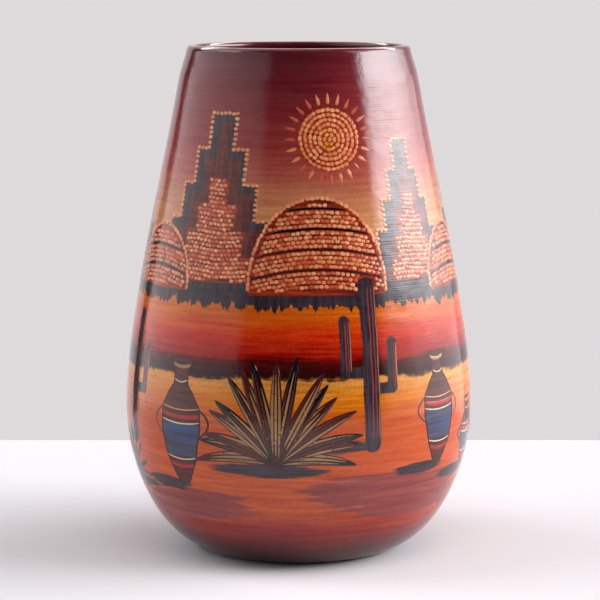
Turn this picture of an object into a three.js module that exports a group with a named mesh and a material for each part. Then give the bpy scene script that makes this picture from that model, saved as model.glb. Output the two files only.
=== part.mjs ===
// A hand-painted earthenware vase: a round, wheel-made jar with a low full belly, walls that lean in
// almost straight to an open mouth, and a small turned foot. Millimetres, +Z up, and the origin is
// the centre of the foot on the table.
//
// The clay is four sections, luted one on the other when leather hard: the floor with its foot, the
// lower wall, the upper wall and the rim. The top edge of each has a groove, and the section above
// stands in it on a tongue. Two thin coats cover the clay: the painted and varnished coat runs up
// the outside and over the lip, and the sealing coat lines the inside down to the floor.
import * as THREE from "three";

// Driving sizes of the outside, over the paint
const HEIGHT = 250;
const FOOT_RADIUS = 46;
const BELLY_RADIUS = 86.4;
const BELLY_HEIGHT = 71.7;
const NECK_RADIUS = 59.5; // where the straight wall ends and the last pull inwards begins
const NECK_BELOW_MOUTH = 17;
const MOUTH_RADIUS = 54.9;

// How the outside bends: the angle at which it leaves the foot, its lean inwards for each millimetre
// up at the neck and at the mouth, and how far each end of a curve runs on before it turns
const FOOT_ANGLE = THREE.MathUtils.degToRad(14);
const NECK_LEAN = 0.183;
const MOUTH_LEAN = 0.19;
const FOOT_RUN = 26.7;
const BELLY_RUN_DOWN = 29.5;
const BELLY_RUN_UP = 41.1;
const NECK_RUN = 51.9;
const LIP_RUN = 6.8;

// Thickness of the finished wall, clay and coats together, and of the floor
const RIM_WALL = 4.8;
const BELLY_WALL = 6.4;
const FOOT_WALL = 8.2;
const FLOOR_THICKNESS = 8.5;
const FLOOR_SWEEP = 14; // how far the wall runs on before it turns into the floor
const FLOOR_FLAT_RADIUS = 40;
const LIP_ROUND = 1.7; // radius of the lip's two edges
const LIP_ROUND_SHARE = 0.45; // the most of the rim's wall that either edge may take

// The turned foot: a ring to stand on, round a shallow recess
const FOOT_RING_WIDTH = 11;
const RECESS_DEPTH = 2.2;
const RECESS_SLOPE = 1.6; // how far the recess's edge runs in while it rises
const BARE_EDGE = 1.1; // height of the bare clay that is left below the paint

// The coats, and how far the painted one comes down inside the mouth
const COAT_THICKNESS = 0.6;
const COAT_GAP = 0.3;
const PAINT_INSIDE = 9;

// The luted joints: heights of their outer edges, and the tongue that stands in each groove
const FLOOR_JOINT_HEIGHT = 21;
const BELLY_JOINT_HEIGHT = 92;
const RIM_JOINT_BELOW_MOUTH = 24;
const TONGUE_LENGTH = 2.4;
const SEAM = 0.45; // room for the slip between two sections, measured up the wall

// How finely the turned shapes are cut
const FACETS_ROUND = 48;
const FOOT_STEPS = 4;
const LOWER_STEPS = 5;
const UPPER_STEPS = 5;
const RIM_STEPS = 2;
const LIP_STEPS = 2;
const FLOOR_STEPS = 4;
const FOOT_CROWDING = 1.6; // above 1, the steps by the foot, where the outside bends most, are closer
const HALVINGS = 40; // how often the search for a height on the outside halves its step

const point = (radius, height) => new THREE.Vector2(radius, height);

// The outside, as one curve up to the widest ring, one on to the neck, and a short one to the mouth
const foot = point(FOOT_RADIUS, 0);
const belly = point(BELLY_RADIUS, BELLY_HEIGHT);
const neck = point(NECK_RADIUS, HEIGHT - NECK_BELOW_MOUTH);
const mouth = point(MOUTH_RADIUS, HEIGHT);
const outline = [
  new THREE.CubicBezierCurve(
    foot,
    point(foot.x + FOOT_RUN * Math.cos(FOOT_ANGLE), FOOT_RUN * Math.sin(FOOT_ANGLE)),
    point(belly.x, belly.y - BELLY_RUN_DOWN),
    belly,
  ),
  new THREE.CubicBezierCurve(
    belly,
    point(belly.x, belly.y + BELLY_RUN_UP),
    point(neck.x + NECK_RUN * NECK_LEAN, neck.y - NECK_RUN),
    neck,
  ),
  new THREE.CubicBezierCurve(
    neck,
    point(neck.x - LIP_RUN * NECK_LEAN, neck.y + LIP_RUN),
    point(mouth.x + LIP_RUN * MOUTH_LEAN, mouth.y - LIP_RUN),
    mouth,
  ),
];

// The outside at a height: the point there, and the way that the outline runs upwards
function outsideAt(height) {
  const curve = outline.find((c) => height <= c.v3.y) ?? outline.at(-1);
  let low = 0;
  let high = 1;
  for (let halving = 0; halving < HALVINGS; halving++) {
    const middle = (low + high) / 2;
    if (curve.getPoint(middle).y < height) low = middle;
    else high = middle;
  }
  return { at: curve.getPoint(low), along: curve.getTangent(low) };
}

// The finished wall's thickness at a height: thickest by the foot and thinnest at the lip
function wallAt(height) {
  const { lerp, smoothstep } = THREE.MathUtils;
  return height < BELLY_HEIGHT
    ? lerp(FOOT_WALL, BELLY_WALL, smoothstep(height, 0, BELLY_HEIGHT))
    : lerp(BELLY_WALL, RIM_WALL, smoothstep(height, BELLY_HEIGHT, HEIGHT));
}

// The point of the inside that is square across the wall from the outside at a height
function insideAt(height) {
  const { at, along } = outsideAt(height);
  return at.clone().addScaledVector(point(-along.y, along.x), wallAt(height));
}

// Heights from one to another, both included, in equal steps or crowded towards the low end
function heightsBetween(low, high, steps, crowding = 1) {
  return Array.from({ length: steps + 1 }, (_, i) =>
    THREE.MathUtils.lerp(low, high, (i / steps) ** crowding),
  );
}

// Heights from the lowest up, each one once
const inOrder = (heights) => [...new Set(heights)].sort((a, b) => a - b);

// The arc that rounds a corner between two straight sides, as points, both ends included
function roundCorner(before, corner, after, radius) {
  const back = before.clone().sub(corner).normalize();
  const on = after.clone().sub(corner).normalize();
  const half = Math.acos(back.dot(on)) / 2;
  const bisector = back.clone().add(on).normalize();
  const centre = corner.clone().addScaledVector(bisector, radius / Math.sin(half));
  const start = corner.clone().addScaledVector(back, radius / Math.tan(half));
  const turn = Math.sign(back.cross(on)) * -(Math.PI - 2 * half);
  return Array.from({ length: LIP_STEPS + 1 }, (_, i) =>
    start.clone().rotateAround(centre, (turn * i) / LIP_STEPS),
  );
}

// A copy of a line moved to its left by a distance, with its corners kept square to both sides.
// A last point on the axis stays on it.
function inset(line, distance) {
  return line.map((here, i) => {
    const arriving = here.clone().sub(line[i - 1] ?? here).normalize();
    const leaving = (line[i + 1] ?? here).clone().sub(here).normalize();
    const along = here.x === 0 ? point(-1, 0) : arriving.clone().add(leaving).normalize();
    const mitre = distance / Math.max(along.dot(arriving), along.dot(leaving));
    return here.clone().addScaledVector(point(-along.y, along.x), mitre);
  });
}

// The skin: the finished surface as one line, up the outside from the edge of the paint, over the
// lip, down the inside, and over the floor to the axis
const paintStart = BARE_EDGE + COAT_GAP;
const rimJointHeight = HEIGHT - RIM_JOINT_BELOW_MOUTH;
const lipRound = Math.min(LIP_ROUND, LIP_ROUND_SHARE * RIM_WALL);
const lipStart = HEIGHT - 2 * lipRound;
const paintEnd = HEIGHT - PAINT_INSIDE;

const wallHeights = [
  ...heightsBetween(FLOOR_JOINT_HEIGHT + SEAM, BELLY_JOINT_HEIGHT, LOWER_STEPS),
  BELLY_HEIGHT,
  ...heightsBetween(BELLY_JOINT_HEIGHT + SEAM, rimJointHeight, UPPER_STEPS),
  rimJointHeight + SEAM,
];
const outsideHeights = inOrder([
  ...heightsBetween(paintStart, FLOOR_JOINT_HEIGHT, FOOT_STEPS, FOOT_CROWDING),
  ...wallHeights,
  ...heightsBetween(rimJointHeight + SEAM, lipStart, RIM_STEPS),
]);
const insideHeights = inOrder([
  FLOOR_JOINT_HEIGHT,
  ...wallHeights,
  paintEnd - COAT_GAP,
  paintEnd,
  lipStart,
]);

const mouthInside = insideAt(HEIGHT);
const mouthAlong = outsideAt(HEIGHT).along;
const innerLip = mouthInside
  .clone()
  .addScaledVector(mouthAlong, (HEIGHT - mouthInside.y) / mouthAlong.y);
const floorHeight = RECESS_DEPTH + FLOOR_THICKNESS;
const floorCurve = new THREE.CubicBezierCurve(
  insideAt(FLOOR_JOINT_HEIGHT),
  insideAt(FLOOR_JOINT_HEIGHT).addScaledVector(outsideAt(FLOOR_JOINT_HEIGHT).along, -FLOOR_SWEEP),
  point(FLOOR_FLAT_RADIUS, floorHeight),
  point(0, floorHeight),
);

const skin = [
  ...outsideHeights.map((height) => outsideAt(height).at),
  ...roundCorner(outsideAt(lipStart).at, mouth, innerLip, lipRound),
  ...roundCorner(mouth, innerLip, insideAt(lipStart), lipRound),
  ...insideHeights.map(insideAt).reverse(),
  ...floorCurve.getPoints(FLOOR_STEPS).slice(1),
];
const outsideIndex = (height) => outsideHeights.indexOf(height);
const insideIndex = (height) =>
  outsideHeights.length + 2 * (LIP_STEPS + 1) + insideHeights.length - 1 - insideHeights.indexOf(height);

const coatBack = inset(skin, COAT_THICKNESS);
const clayFace = inset(skin, COAT_THICKNESS + COAT_GAP);

// The joint over a section whose top edge is at this height, or under the one whose bottom edge is:
// from the outer face down into the groove, or along the tongue, and up to the inner face
function joint(height) {
  const outer = clayFace[outsideIndex(height)];
  const inner = clayFace[insideIndex(height)];
  const middle = outer.clone().lerp(inner, 0.5);
  return [outer, middle.addScaledVector(outsideAt(height).along, -TONGUE_LENGTH), inner];
}

// A section of the wall between two joints
function wallSection(low, high) {
  return [
    ...clayFace.slice(outsideIndex(low), outsideIndex(high)),
    ...joint(high),
    ...clayFace.slice(insideIndex(high) + 1, insideIndex(low)),
    ...joint(low).reverse(),
  ];
}

function floorSection() {
  const ringInside = FOOT_RADIUS - FOOT_RING_WIDTH;
  return [
    point(0, RECESS_DEPTH),
    point(ringInside - RECESS_SLOPE, RECESS_DEPTH),
    point(ringInside, 0),
    foot,
    outsideAt(BARE_EDGE).at,
    ...clayFace.slice(0, outsideIndex(FLOOR_JOINT_HEIGHT)),
    ...joint(FLOOR_JOINT_HEIGHT),
    ...clayFace.slice(insideIndex(FLOOR_JOINT_HEIGHT) + 1),
  ];
}

function rimSection() {
  const bottom = rimJointHeight + SEAM;
  return [
    ...clayFace.slice(outsideIndex(bottom), insideIndex(bottom)),
    ...joint(bottom).reverse(),
  ];
}

// A coat over a stretch of the skin
function coat(from, to) {
  return [...skin.slice(from, to + 1), ...coatBack.slice(from, to + 1).reverse()];
}

// A turned piece: a profile that ends on the axis, or else closes on itself, spun round it
function turned(name, profile, material) {
  const closed = profile[0].x === 0 ? profile : [...profile, profile[0]];
  const geometry = new THREE.LatheGeometry(closed, FACETS_ROUND).rotateX(Math.PI / 2);
  const mesh = new THREE.Mesh(geometry, material);
  mesh.name = name;
  return mesh;
}

const bareClay = new THREE.MeshStandardMaterial({ color: 0xb0623f, roughness: 0.9, metalness: 0 });
const paint = new THREE.MeshStandardMaterial({ color: 0xa8482c, roughness: 0.28, metalness: 0 });
const sealer = new THREE.MeshStandardMaterial({ color: 0x4c1a1c, roughness: 0.4, metalness: 0 });

const vase = new THREE.Group();
vase.name = "earthenware_vase";
vase.add(
  turned("foot_and_floor", floorSection(), bareClay),
  turned("lower_wall", wallSection(FLOOR_JOINT_HEIGHT + SEAM, BELLY_JOINT_HEIGHT), bareClay),
  turned("upper_wall", wallSection(BELLY_JOINT_HEIGHT + SEAM, rimJointHeight), bareClay),
  turned("rim", rimSection(), bareClay),
  turned("painted_coat", coat(0, insideIndex(paintEnd)), paint),
  turned("inner_coat", coat(insideIndex(paintEnd - COAT_GAP), skin.length - 1), sealer),
);

export default vase;
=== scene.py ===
"""A hand-painted earthenware vase, dressed for its portrait.

The frame holds the vase's solids: four clay sections luted together, a painted coat outside and a
sealing coat inside. Here the two coats get fine turned meshes, the ground colours and the large
painted shapes are laid on the outer coat in its material, and the small brush marks, such as dots,
leaves and outlines, are laid on it as thin raised strokes of paint. The clay keeps its solids.

Lengths are in metres, as in the frame. The painting is laid out in millimetres and degrees: a
bearing is counted round the vase from the front (-Y), positive towards +X.
"""

import logging
from dataclasses import dataclass, field
from enum import Enum
from math import atan, cos, degrees, pi, radians, sin

import bpy
import numpy as np
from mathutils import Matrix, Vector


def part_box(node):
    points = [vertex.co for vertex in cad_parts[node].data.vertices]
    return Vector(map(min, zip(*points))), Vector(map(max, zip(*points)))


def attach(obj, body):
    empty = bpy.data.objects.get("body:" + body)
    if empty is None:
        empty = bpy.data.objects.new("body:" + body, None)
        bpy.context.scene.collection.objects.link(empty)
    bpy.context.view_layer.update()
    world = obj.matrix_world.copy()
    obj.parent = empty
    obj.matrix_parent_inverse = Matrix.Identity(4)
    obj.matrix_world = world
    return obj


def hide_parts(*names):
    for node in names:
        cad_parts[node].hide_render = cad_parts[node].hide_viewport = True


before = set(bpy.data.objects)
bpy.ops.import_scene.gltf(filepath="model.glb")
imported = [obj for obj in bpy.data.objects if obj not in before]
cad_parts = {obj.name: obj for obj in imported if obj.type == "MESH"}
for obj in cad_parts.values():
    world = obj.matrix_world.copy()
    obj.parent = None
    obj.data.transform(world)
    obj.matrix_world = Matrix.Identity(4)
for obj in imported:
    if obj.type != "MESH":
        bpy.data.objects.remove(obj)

log = logging.getLogger("vase")
MM = 0.001
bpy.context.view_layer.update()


class Pigment(Enum):
    """The painter's colours for motifs, each the sRGB colour of the dry paint before its varnish."""

    CHARCOAL = "#2a1f26"
    SLATE = "#43383f"
    RUST = "#742a1c"
    OXBLOOD = "#481815"
    BRICK = "#b23a1e"
    EMBER = "#8c2417"
    SALMON = "#de8555"
    APRICOT = "#ea9d68"
    CORAL = "#c8573a"
    BLACK = "#150f10"
    UMBER = "#5c2b20"
    DUSTY_RED = "#8a3833"
    ROSE = "#984440"
    TAN = "#a87c50"
    GOLD = "#d8902f"
    CREAM = "#d9c6a6"
    BLUE = "#34517f"
    RED = "#a82c25"


class GroundPaint:
    """The dry paints that the ground's bands are brushed with, as sRGB colours."""

    SOOT = "#300304"
    MAROON = "#560304"
    BRICK = "#981c10"
    TERRACOTTA = "#c8521e"
    RUST = "#c24c06"
    ORANGE = "#cc6600"
    AMBER = "#d27600"
    GOLD = "#d8903e"
    CRIMSON = "#980c00"
    VERMILION = "#c82e00"
    OCHRE = "#be6a08"
    PEACH = "#cc9058"
    CLAY = "#ba7250"
    ROSE = "#a65040"
    CLARET = "#8f3430"
    WINE = "#661a22"
    BURGUNDY = "#50141c"


def linear(colour: "str | Pigment") -> tuple[float, float, float, float]:
    """Turns an sRGB hex colour into the linear values that a shader works in.

    Args:
        colour: a hex string such as "#5e1a21", or a pigment.

    Returns:
        Red, green, blue and an alpha of 1.
    """
    text = colour.value if isinstance(colour, Pigment) else colour
    parts = [int(text[i : i + 2], 16) / 255 for i in (1, 3, 5)]
    parts = [c / 12.92 if c <= 0.04045 else ((c + 0.055) / 1.055) ** 2.4 for c in parts]
    return (*parts, 1.0)


def add(tree: bpy.types.NodeTree, kind: str, links: "dict | None" = None, **settings) -> bpy.types.Node:
    """Adds one node to a tree.

    Args:
        tree: the material's or the world's nodes.
        kind: the node's type, such as ShaderNodeMath.
        links: for each input's name or number, the socket to link or the value to set.
        settings: the node's own properties.

    Returns:
        The node.
    """
    node = tree.nodes.new(kind)
    for name, value in settings.items():
        setattr(node, name, value)
    for key, value in (links or {}).items():
        if isinstance(value, bpy.types.NodeSocket):
            tree.links.new(value, node.inputs[key])
        else:
            node.inputs[key].default_value = value
    return node


def new_material(name: str) -> tuple[bpy.types.Material, bpy.types.NodeTree, bpy.types.Node]:
    """Makes an empty material with its shader and its output.

    Args:
        name: what the finish is and how it was made.

    Returns:
        The material, its nodes and its shader.
    """
    material = bpy.data.materials.new(name)
    material.use_nodes = True
    tree = material.node_tree
    tree.nodes.clear()
    shader = add(tree, "ShaderNodeBsdfPrincipled")
    add(tree, "ShaderNodeOutputMaterial", {"Surface": shader.outputs[0]})
    return material, tree, shader


# The vase's form


def bezier(ends: np.ndarray, samples: int) -> np.ndarray:
    """Points of a cubic curve: each is the four control points weighed by the Bernstein weights.

    Args:
        ends: the four control points.
        samples: how many points are wanted.

    Returns:
        The points, from the first control point to the last.
    """
    t = np.linspace(0, 1, samples)[:, None]
    a, b, c, d = ends
    return a * (1 - t) ** 3 + 3 * b * t * (1 - t) ** 2 + 3 * c * t**2 * (1 - t) + d * t**3


def unit(vectors: np.ndarray) -> np.ndarray:
    """The same directions with a length of 1."""
    return vectors / np.linalg.norm(vectors, axis=-1, keepdims=True)


def left_of(along: np.ndarray) -> np.ndarray:
    """Directions turned a quarter to the left, which on the skin points into the wall."""
    return np.stack([-along[..., 1], along[..., 0]], axis=-1)


def run_of(line: np.ndarray) -> np.ndarray:
    """How far along a line each of its points lies: the running sum of its steps."""
    return np.concatenate([[0], np.cumsum(np.linalg.norm(np.diff(line, axis=0), axis=1))])


def points_at(line: np.ndarray, run: np.ndarray, at: np.ndarray) -> np.ndarray:
    """The points at some places along a line's run, each on the straight between its neighbours."""
    return np.stack([np.interp(at, run, line[:, 0]), np.interp(at, run, line[:, 1])], axis=-1)


def resample(line: np.ndarray, spacing: float) -> np.ndarray:
    """Points along a line at equal steps of its length, both ends included.

    Args:
        line: points as (radius, height).
        spacing: the step wanted, which is rounded so that a whole number of them fits.

    Returns:
        The new points.
    """
    run = run_of(line)
    steps = max(1, round(run[-1] / spacing))
    return points_at(line, run, np.linspace(0, run[-1], steps + 1))


def round_corner(
    before: np.ndarray, corner: np.ndarray, after: np.ndarray, radius: float, samples: int = 9
) -> np.ndarray:
    """The arc that rounds a corner between two straight sides.

    Its centre lies on the corner's bisector, radius / sin(half the angle) from the corner.

    Args:
        before: a point on the side that leads to the corner.
        corner: the sharp corner.
        after: a point on the side that leads away from it.
        radius: the arc's radius.
        samples: how many points are wanted.

    Returns:
        The arc's points, from the first side to the second.
    """
    back, on = unit(before - corner), unit(after - corner)
    half = np.arccos(np.clip(back @ on, -1, 1)) / 2
    centre = corner + unit(back + on) * radius / np.sin(half)
    start = corner + back * radius / np.tan(half) - centre
    side = np.sign(back[0] * on[1] - back[1] * on[0])
    turn = -side * (pi - 2 * half) * np.linspace(0, 1, samples)
    c, s = np.cos(turn), np.sin(turn)
    return centre + np.stack([start[0] * c - start[1] * s, start[0] * s + start[1] * c], axis=1)


def inset(line: np.ndarray, distance: float) -> np.ndarray:
    """A line moved into the wall. A point on the axis stays on it.

    Args:
        line: points as (radius, height), with the wall on their left.
        distance: how far each point moves, square to the line.

    Returns:
        The moved points.
    """
    along = unit(np.gradient(line, axis=0))
    along[line[:, 0] < 1e-9] = (-1, 0)
    return line + left_of(along) * distance


@dataclass
class Form:
    """The finished vase in section: its outside, lip, inside and floor.

    The height and the belly's radius come from the frame, and the other sizes are the same as the
    solids'.
    """

    height: float
    belly_radius: float
    foot_radius: float = 46 * MM
    belly_height: float = 71.7 * MM
    neck_radius: float = 59.5 * MM
    neck_below_mouth: float = 17 * MM
    mouth_radius: float = 54.9 * MM
    foot_angle: float = radians(14)
    neck_lean: float = 0.183
    mouth_lean: float = 0.19
    foot_run: float = 26.7 * MM
    belly_run_down: float = 29.5 * MM
    belly_run_up: float = 41.1 * MM
    neck_run: float = 51.9 * MM
    lip_run: float = 6.8 * MM
    rim_wall: float = 4.8 * MM
    belly_wall: float = 6.4 * MM
    foot_wall: float = 8.2 * MM
    floor_top: float = 10.7 * MM
    floor_sweep: float = 14 * MM
    floor_joint: float = 21 * MM
    floor_flat_radius: float = 40 * MM
    lip_round: float = 1.7 * MM
    samples: int = 1200
    outside: np.ndarray = field(init=False)

    def __post_init__(self) -> None:
        """Works out the outside as one fine line of points from the foot to the mouth."""
        foot = np.array([self.foot_radius, 0])
        belly = np.array([self.belly_radius, self.belly_height])
        neck = np.array([self.neck_radius, self.height - self.neck_below_mouth])
        mouth = np.array([self.mouth_radius, self.height])
        leave = self.foot_run * np.array([cos(self.foot_angle), sin(self.foot_angle)])
        lean = np.array([-self.neck_lean, 1])
        curves = [
            [foot, foot + leave, belly - (0, self.belly_run_down), belly],
            [belly, belly + (0, self.belly_run_up), neck - self.neck_run * lean, neck],
            [neck, neck + self.lip_run * lean, mouth - self.lip_run * np.array([-self.mouth_lean, 1]), mouth],
        ]
        parts = [bezier(np.array(curve), self.samples) for curve in curves]
        self.outside = np.concatenate([parts[0], parts[1][1:], parts[2][1:]])

    def radius(self, height: np.ndarray) -> np.ndarray:
        """The outside's radius at each height."""
        return np.interp(height, self.outside[:, 1], self.outside[:, 0])

    def lean(self, height: np.ndarray) -> np.ndarray:
        """How much the radius grows for each metre up, measured over a short step.

        Args:
            height: metres above the table.

        Returns:
            The slope at each height.
        """
        step = 0.5 * MM
        low = np.maximum(height - step, 0)
        high = np.minimum(height + step, self.height)
        return (self.radius(high) - self.radius(low)) / (high - low)

    def wall(self, height: np.ndarray) -> np.ndarray:
        """The wall's thickness: an S-shaped blend from foot to belly, and from there to the rim.

        Args:
            height: metres above the table.

        Returns:
            The thickness at each height, square to the outside.
        """
        below = np.clip(height / self.belly_height, 0, 1)
        above = np.clip((height - self.belly_height) / (self.height - self.belly_height), 0, 1)
        ease_below, ease_above = (t * t * (3 - 2 * t) for t in (below, above))
        lower = self.foot_wall + (self.belly_wall - self.foot_wall) * ease_below
        return lower + (self.rim_wall - self.belly_wall) * ease_above

    def skin(self) -> np.ndarray:
        """The whole finished surface as one line: up the outside, over the lip and down to the axis.

        The inside is the outside moved in by the wall's thickness, the lip's corners are arcs and
        the floor is a cubic curve.

        Returns:
            The line's points as (radius, height).
        """
        along = unit(np.gradient(self.outside, axis=0))
        inside = self.outside + left_of(along) * self.wall(self.outside[:, 1])[:, None]
        lip_start = self.height - 2 * self.lip_round
        outer = self.outside[self.outside[:, 1] < lip_start]
        inner = inside[(self.outside[:, 1] < lip_start) & (self.outside[:, 1] > self.floor_joint)][::-1]
        mouth = self.outside[-1]
        inner_lip = inside[-1] + along[-1] * (self.height - inside[-1, 1]) / along[-1, 1]
        at_joint = np.searchsorted(self.outside[:, 1], self.floor_joint)
        start = inside[at_joint]
        floor = bezier(
            np.array([
                start,
                start - along[at_joint] * self.floor_sweep,
                (self.floor_flat_radius, self.floor_top),
                (0, self.floor_top),
            ]),
            self.samples,
        )
        return np.concatenate([
            outer,
            round_corner(outer[-1], mouth, inner_lip, self.lip_round),
            round_corner(mouth, inner_lip, inner[0], self.lip_round),
            inner,
            floor[1:],
        ])


@dataclass
class HandThrown:
    """The small unevenness that a potter's hands leave: a slight oval, soft dents and throwing rings.

    All of it lies inwards of the true form, under which the brush strokes have room too.
    """

    under: float = 0.14 * MM
    oval: float = 0.16 * MM
    dents: float = 0.12 * MM
    rings: float = 0.025 * MM
    ring_spacing: float = 3.1 * MM

    def offset(self, bearing: np.ndarray, height: np.ndarray) -> np.ndarray:
        """How far the surface lies from the true form, as a few sine waves round and up the vase.

        Args:
            bearing: radians round the vase from the front.
            height: metres above the table.

        Returns:
            Metres outwards, which is below zero everywhere.
        """
        oval = self.oval * (np.cos(2 * bearing + 0.6 + 4 * height) - 1) / 2
        waves = np.sin(3 * bearing + 31 * height) * np.cos(5 * bearing - 43 * height + 1.3)
        dents = self.dents * (waves - 1) / 2
        rings = self.rings * (np.sin(2 * pi * height / self.ring_spacing + 1.5 * np.sin(bearing)) - 1) / 2
        return oval + dents + rings - self.under


@dataclass
class Surface:
    """The outside of the vase as it was really thrown, for everything that lies on it."""

    form: Form
    hand: HandThrown

    def place(self, bearing: np.ndarray, height: np.ndarray, lift: "np.ndarray | float") -> np.ndarray:
        """Points on the outside.

        Args:
            bearing: radians round the vase from the front.
            height: metres above the table.
            lift: metres out from the surface, square to it.

        Returns:
            The points, with a last axis of three.
        """
        lean = self.form.lean(height)
        level = 1 / np.sqrt(1 + lean**2)
        radius = self.form.radius(height) + self.hand.offset(bearing, height) + lift * level
        return np.stack(
            [radius * np.sin(bearing), -radius * np.cos(bearing), height - lift * lean * level], axis=-1
        )


def make_mesh(name: str, points: np.ndarray, faces: list, smooth: bool = True) -> bpy.types.Object:
    """Puts points and faces into a new object, which sits at the origin.

    Args:
        name: the piece's name.
        points: an array of three columns.
        faces: lists of point numbers, wound so that faces point outwards.
        smooth: whether the faces are shaded smooth.

    Returns:
        The object, linked to the scene.
    """
    mesh = bpy.data.meshes.new(name)
    mesh.from_pydata(points.tolist(), [], faces)
    mesh.polygons.foreach_set("use_smooth", np.full(len(mesh.polygons), smooth))
    mesh.update()
    piece = bpy.data.objects.new(name, mesh)
    bpy.context.scene.collection.objects.link(piece)
    return piece


def spin(name: str, profile: np.ndarray, columns: int, hand: HandThrown) -> bpy.types.Object:
    """Turns a closed section round the axis into a solid of rings of points.

    Point (i, j) is the section's point i turned by j / columns of a full turn. Points on the axis
    stay single, and the section's last point is joined to its first.

    Args:
        name: the piece's name.
        profile: the section as (radius, height), a closed line, counter-clockwise.
        columns: how many points each ring has.
        hand: the unevenness that is added to each radius.

    Returns:
        The piece.
    """
    bearing = np.arange(columns) * 2 * pi / columns
    on_axis = profile[:, 0] < 1e-9
    first = np.concatenate([[0], np.cumsum(np.where(on_axis, 1, columns))])[:-1]
    ring = first[:, None] + np.where(on_axis[:, None], 0, np.arange(columns))
    even_near_axis = np.minimum(profile[:, :1] / (20 * MM), 1)
    radius = profile[:, :1] + hand.offset(bearing[None, :], profile[:, 1:]) * even_near_axis
    heights = np.broadcast_to(profile[:, 1:], radius.shape)
    grid = np.stack([radius * np.sin(bearing), -radius * np.cos(bearing), heights], axis=-1)
    points = np.concatenate([row[:1] if lone else row for row, lone in zip(grid, on_axis)])
    after = np.roll(ring, -1, axis=0)
    quads = np.stack([ring, np.roll(ring, -1, axis=1), np.roll(after, -1, axis=1), after], axis=-1)
    next_on_axis = np.roll(on_axis, -1)
    faces = quads[~on_axis & ~next_on_axis].reshape(-1, 4).tolist()
    faces += quads[on_axis & ~next_on_axis][..., [0, 2, 3]].reshape(-1, 3).tolist()
    faces += quads[~on_axis & next_on_axis][..., [0, 1, 2]].reshape(-1, 3).tolist()
    return make_mesh(name, points, faces)


# The painting's layout


def box_field(x: np.ndarray, y: np.ndarray, half_width: float, low: float, high: float) -> np.ndarray:
    """Signed distance to an upright rectangle centred on x = 0: below 0 inside it.

    Args:
        x: millimetres across.
        y: millimetres up.
        half_width: half the rectangle's width.
        low: where its lower edge lies.
        high: where its upper edge lies.

    Returns:
        The distance at each point.
    """
    across = np.abs(x) - half_width
    up = np.abs(y - (low + high) / 2) - (high - low) / 2
    outside = np.hypot(np.maximum(across, 0), np.maximum(up, 0))
    return outside + np.minimum(np.maximum(across, up), 0)


def capsule_field(x: np.ndarray, y: np.ndarray, ends: tuple, radius: float) -> np.ndarray:
    """Signed distance to a round-ended bar: the distance to its middle line, less its radius.

    Args:
        x: millimetres across.
        y: millimetres up.
        ends: the middle line's two ends.
        radius: half the bar's thickness.

    Returns:
        The distance at each point.
    """
    (ax, ay), (bx, by) = ends
    run = np.array([bx - ax, by - ay])
    t = np.clip(((x - ax) * run[0] + (y - ay) * run[1]) / (run @ run), 0, 1)
    return np.hypot(x - ax - t * run[0], y - ay - t * run[1]) - radius


def oval_field(x: np.ndarray, y: np.ndarray, centre: tuple, stretch: float, radius: float) -> np.ndarray:
    """Roughly signed distance to a level oval, as a circle's with x drawn together by the stretch."""
    return np.hypot((x - centre[0]) / stretch, y - centre[1]) - radius


@dataclass(frozen=True)
class Motif:
    """Something painted round one bearing, in its own flat millimetres: x across and y up."""

    bearing: float
    base: float

    def local(self, bearing: np.ndarray, height_mm: np.ndarray, radius_mm: np.ndarray) -> tuple:
        """Where points of the vase lie in this motif's own flat millimetres."""
        turn = (bearing - radians(self.bearing) + pi) % (2 * pi) - pi
        return turn * radius_mm, height_mm - self.base


@dataclass(frozen=True)
class StepMountain(Motif):
    """The old stepped mountain: courses that draw in evenly to a single top course.

    Its lit face lies inside the outline, moved a little aside, and on it is a sown field, which is a
    smaller mountain of the same kind with one course less.
    """

    half_width: float
    course: float
    courses: int
    face_inset: float = 4.0
    face_aside: float = 1.5
    field_width: float = 0.62
    field_course: float = 0.74
    field_base: float = 4.0
    field_aside: float = 1.0

    def outline(self, x: np.ndarray, y: np.ndarray) -> np.ndarray:
        """Signed distance to the mountain, as the nearest of its courses."""
        fields = [
            box_field(x, y, self.half_width * (1 - i / self.courses), 0, self.course * (i + 1))
            for i in range(self.courses)
        ]
        return np.minimum.reduce(fields)

    def face(self, x: np.ndarray, y: np.ndarray) -> np.ndarray:
        """Roughly signed distance to the lit face."""
        return self.outline(x - self.face_aside, y) + self.face_inset

    def sown(self, x: np.ndarray, y: np.ndarray) -> np.ndarray:
        """Signed distance to the sown field, as that of the smaller mountain moved to its place.

        Args:
            x: millimetres across, from the mountain's middle.
            y: millimetres up, from its foot.

        Returns:
            The distance at each point.
        """
        width, course = self.half_width * self.field_width, self.course * self.field_course
        field = StepMountain(0, 0, width, course, self.courses - 1)
        return field.outline(x - self.field_aside, y - self.field_base)

    def stairs(self) -> np.ndarray:
        """The corners of the outline from its left foot, up over the top and down to its right foot.

        Returns:
            The corners as (x, y).
        """
        left = []
        for i in range(self.courses):
            edge = -self.half_width * (1 - i / self.courses)
            left += [(edge, self.course * i), (edge, self.course * (i + 1))]
        right = [(-x, y) for x, y in reversed(left)]
        return np.array(left + right)


@dataclass(frozen=True)
class TerracedHill(Motif):
    """A domed hill cut into curved terraces, each a few rows of planting above a dark wall."""

    half_width: float
    height: float
    terrace: float = 9.4
    crown: float = 0.16

    def outline(self, x: np.ndarray, y: np.ndarray) -> np.ndarray:
        """Roughly signed distance to the dome."""
        round_part = np.hypot(x / self.half_width, np.maximum(y, 0) / self.height) - 1
        return np.maximum(round_part * min(self.half_width, self.height), -y)

    def level(self, x: np.ndarray) -> np.ndarray:
        """How high a terrace bows at x above its ends: a parabola that is highest in the middle."""
        return self.crown * self.half_width * (1 - (x / self.half_width) ** 2)


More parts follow.
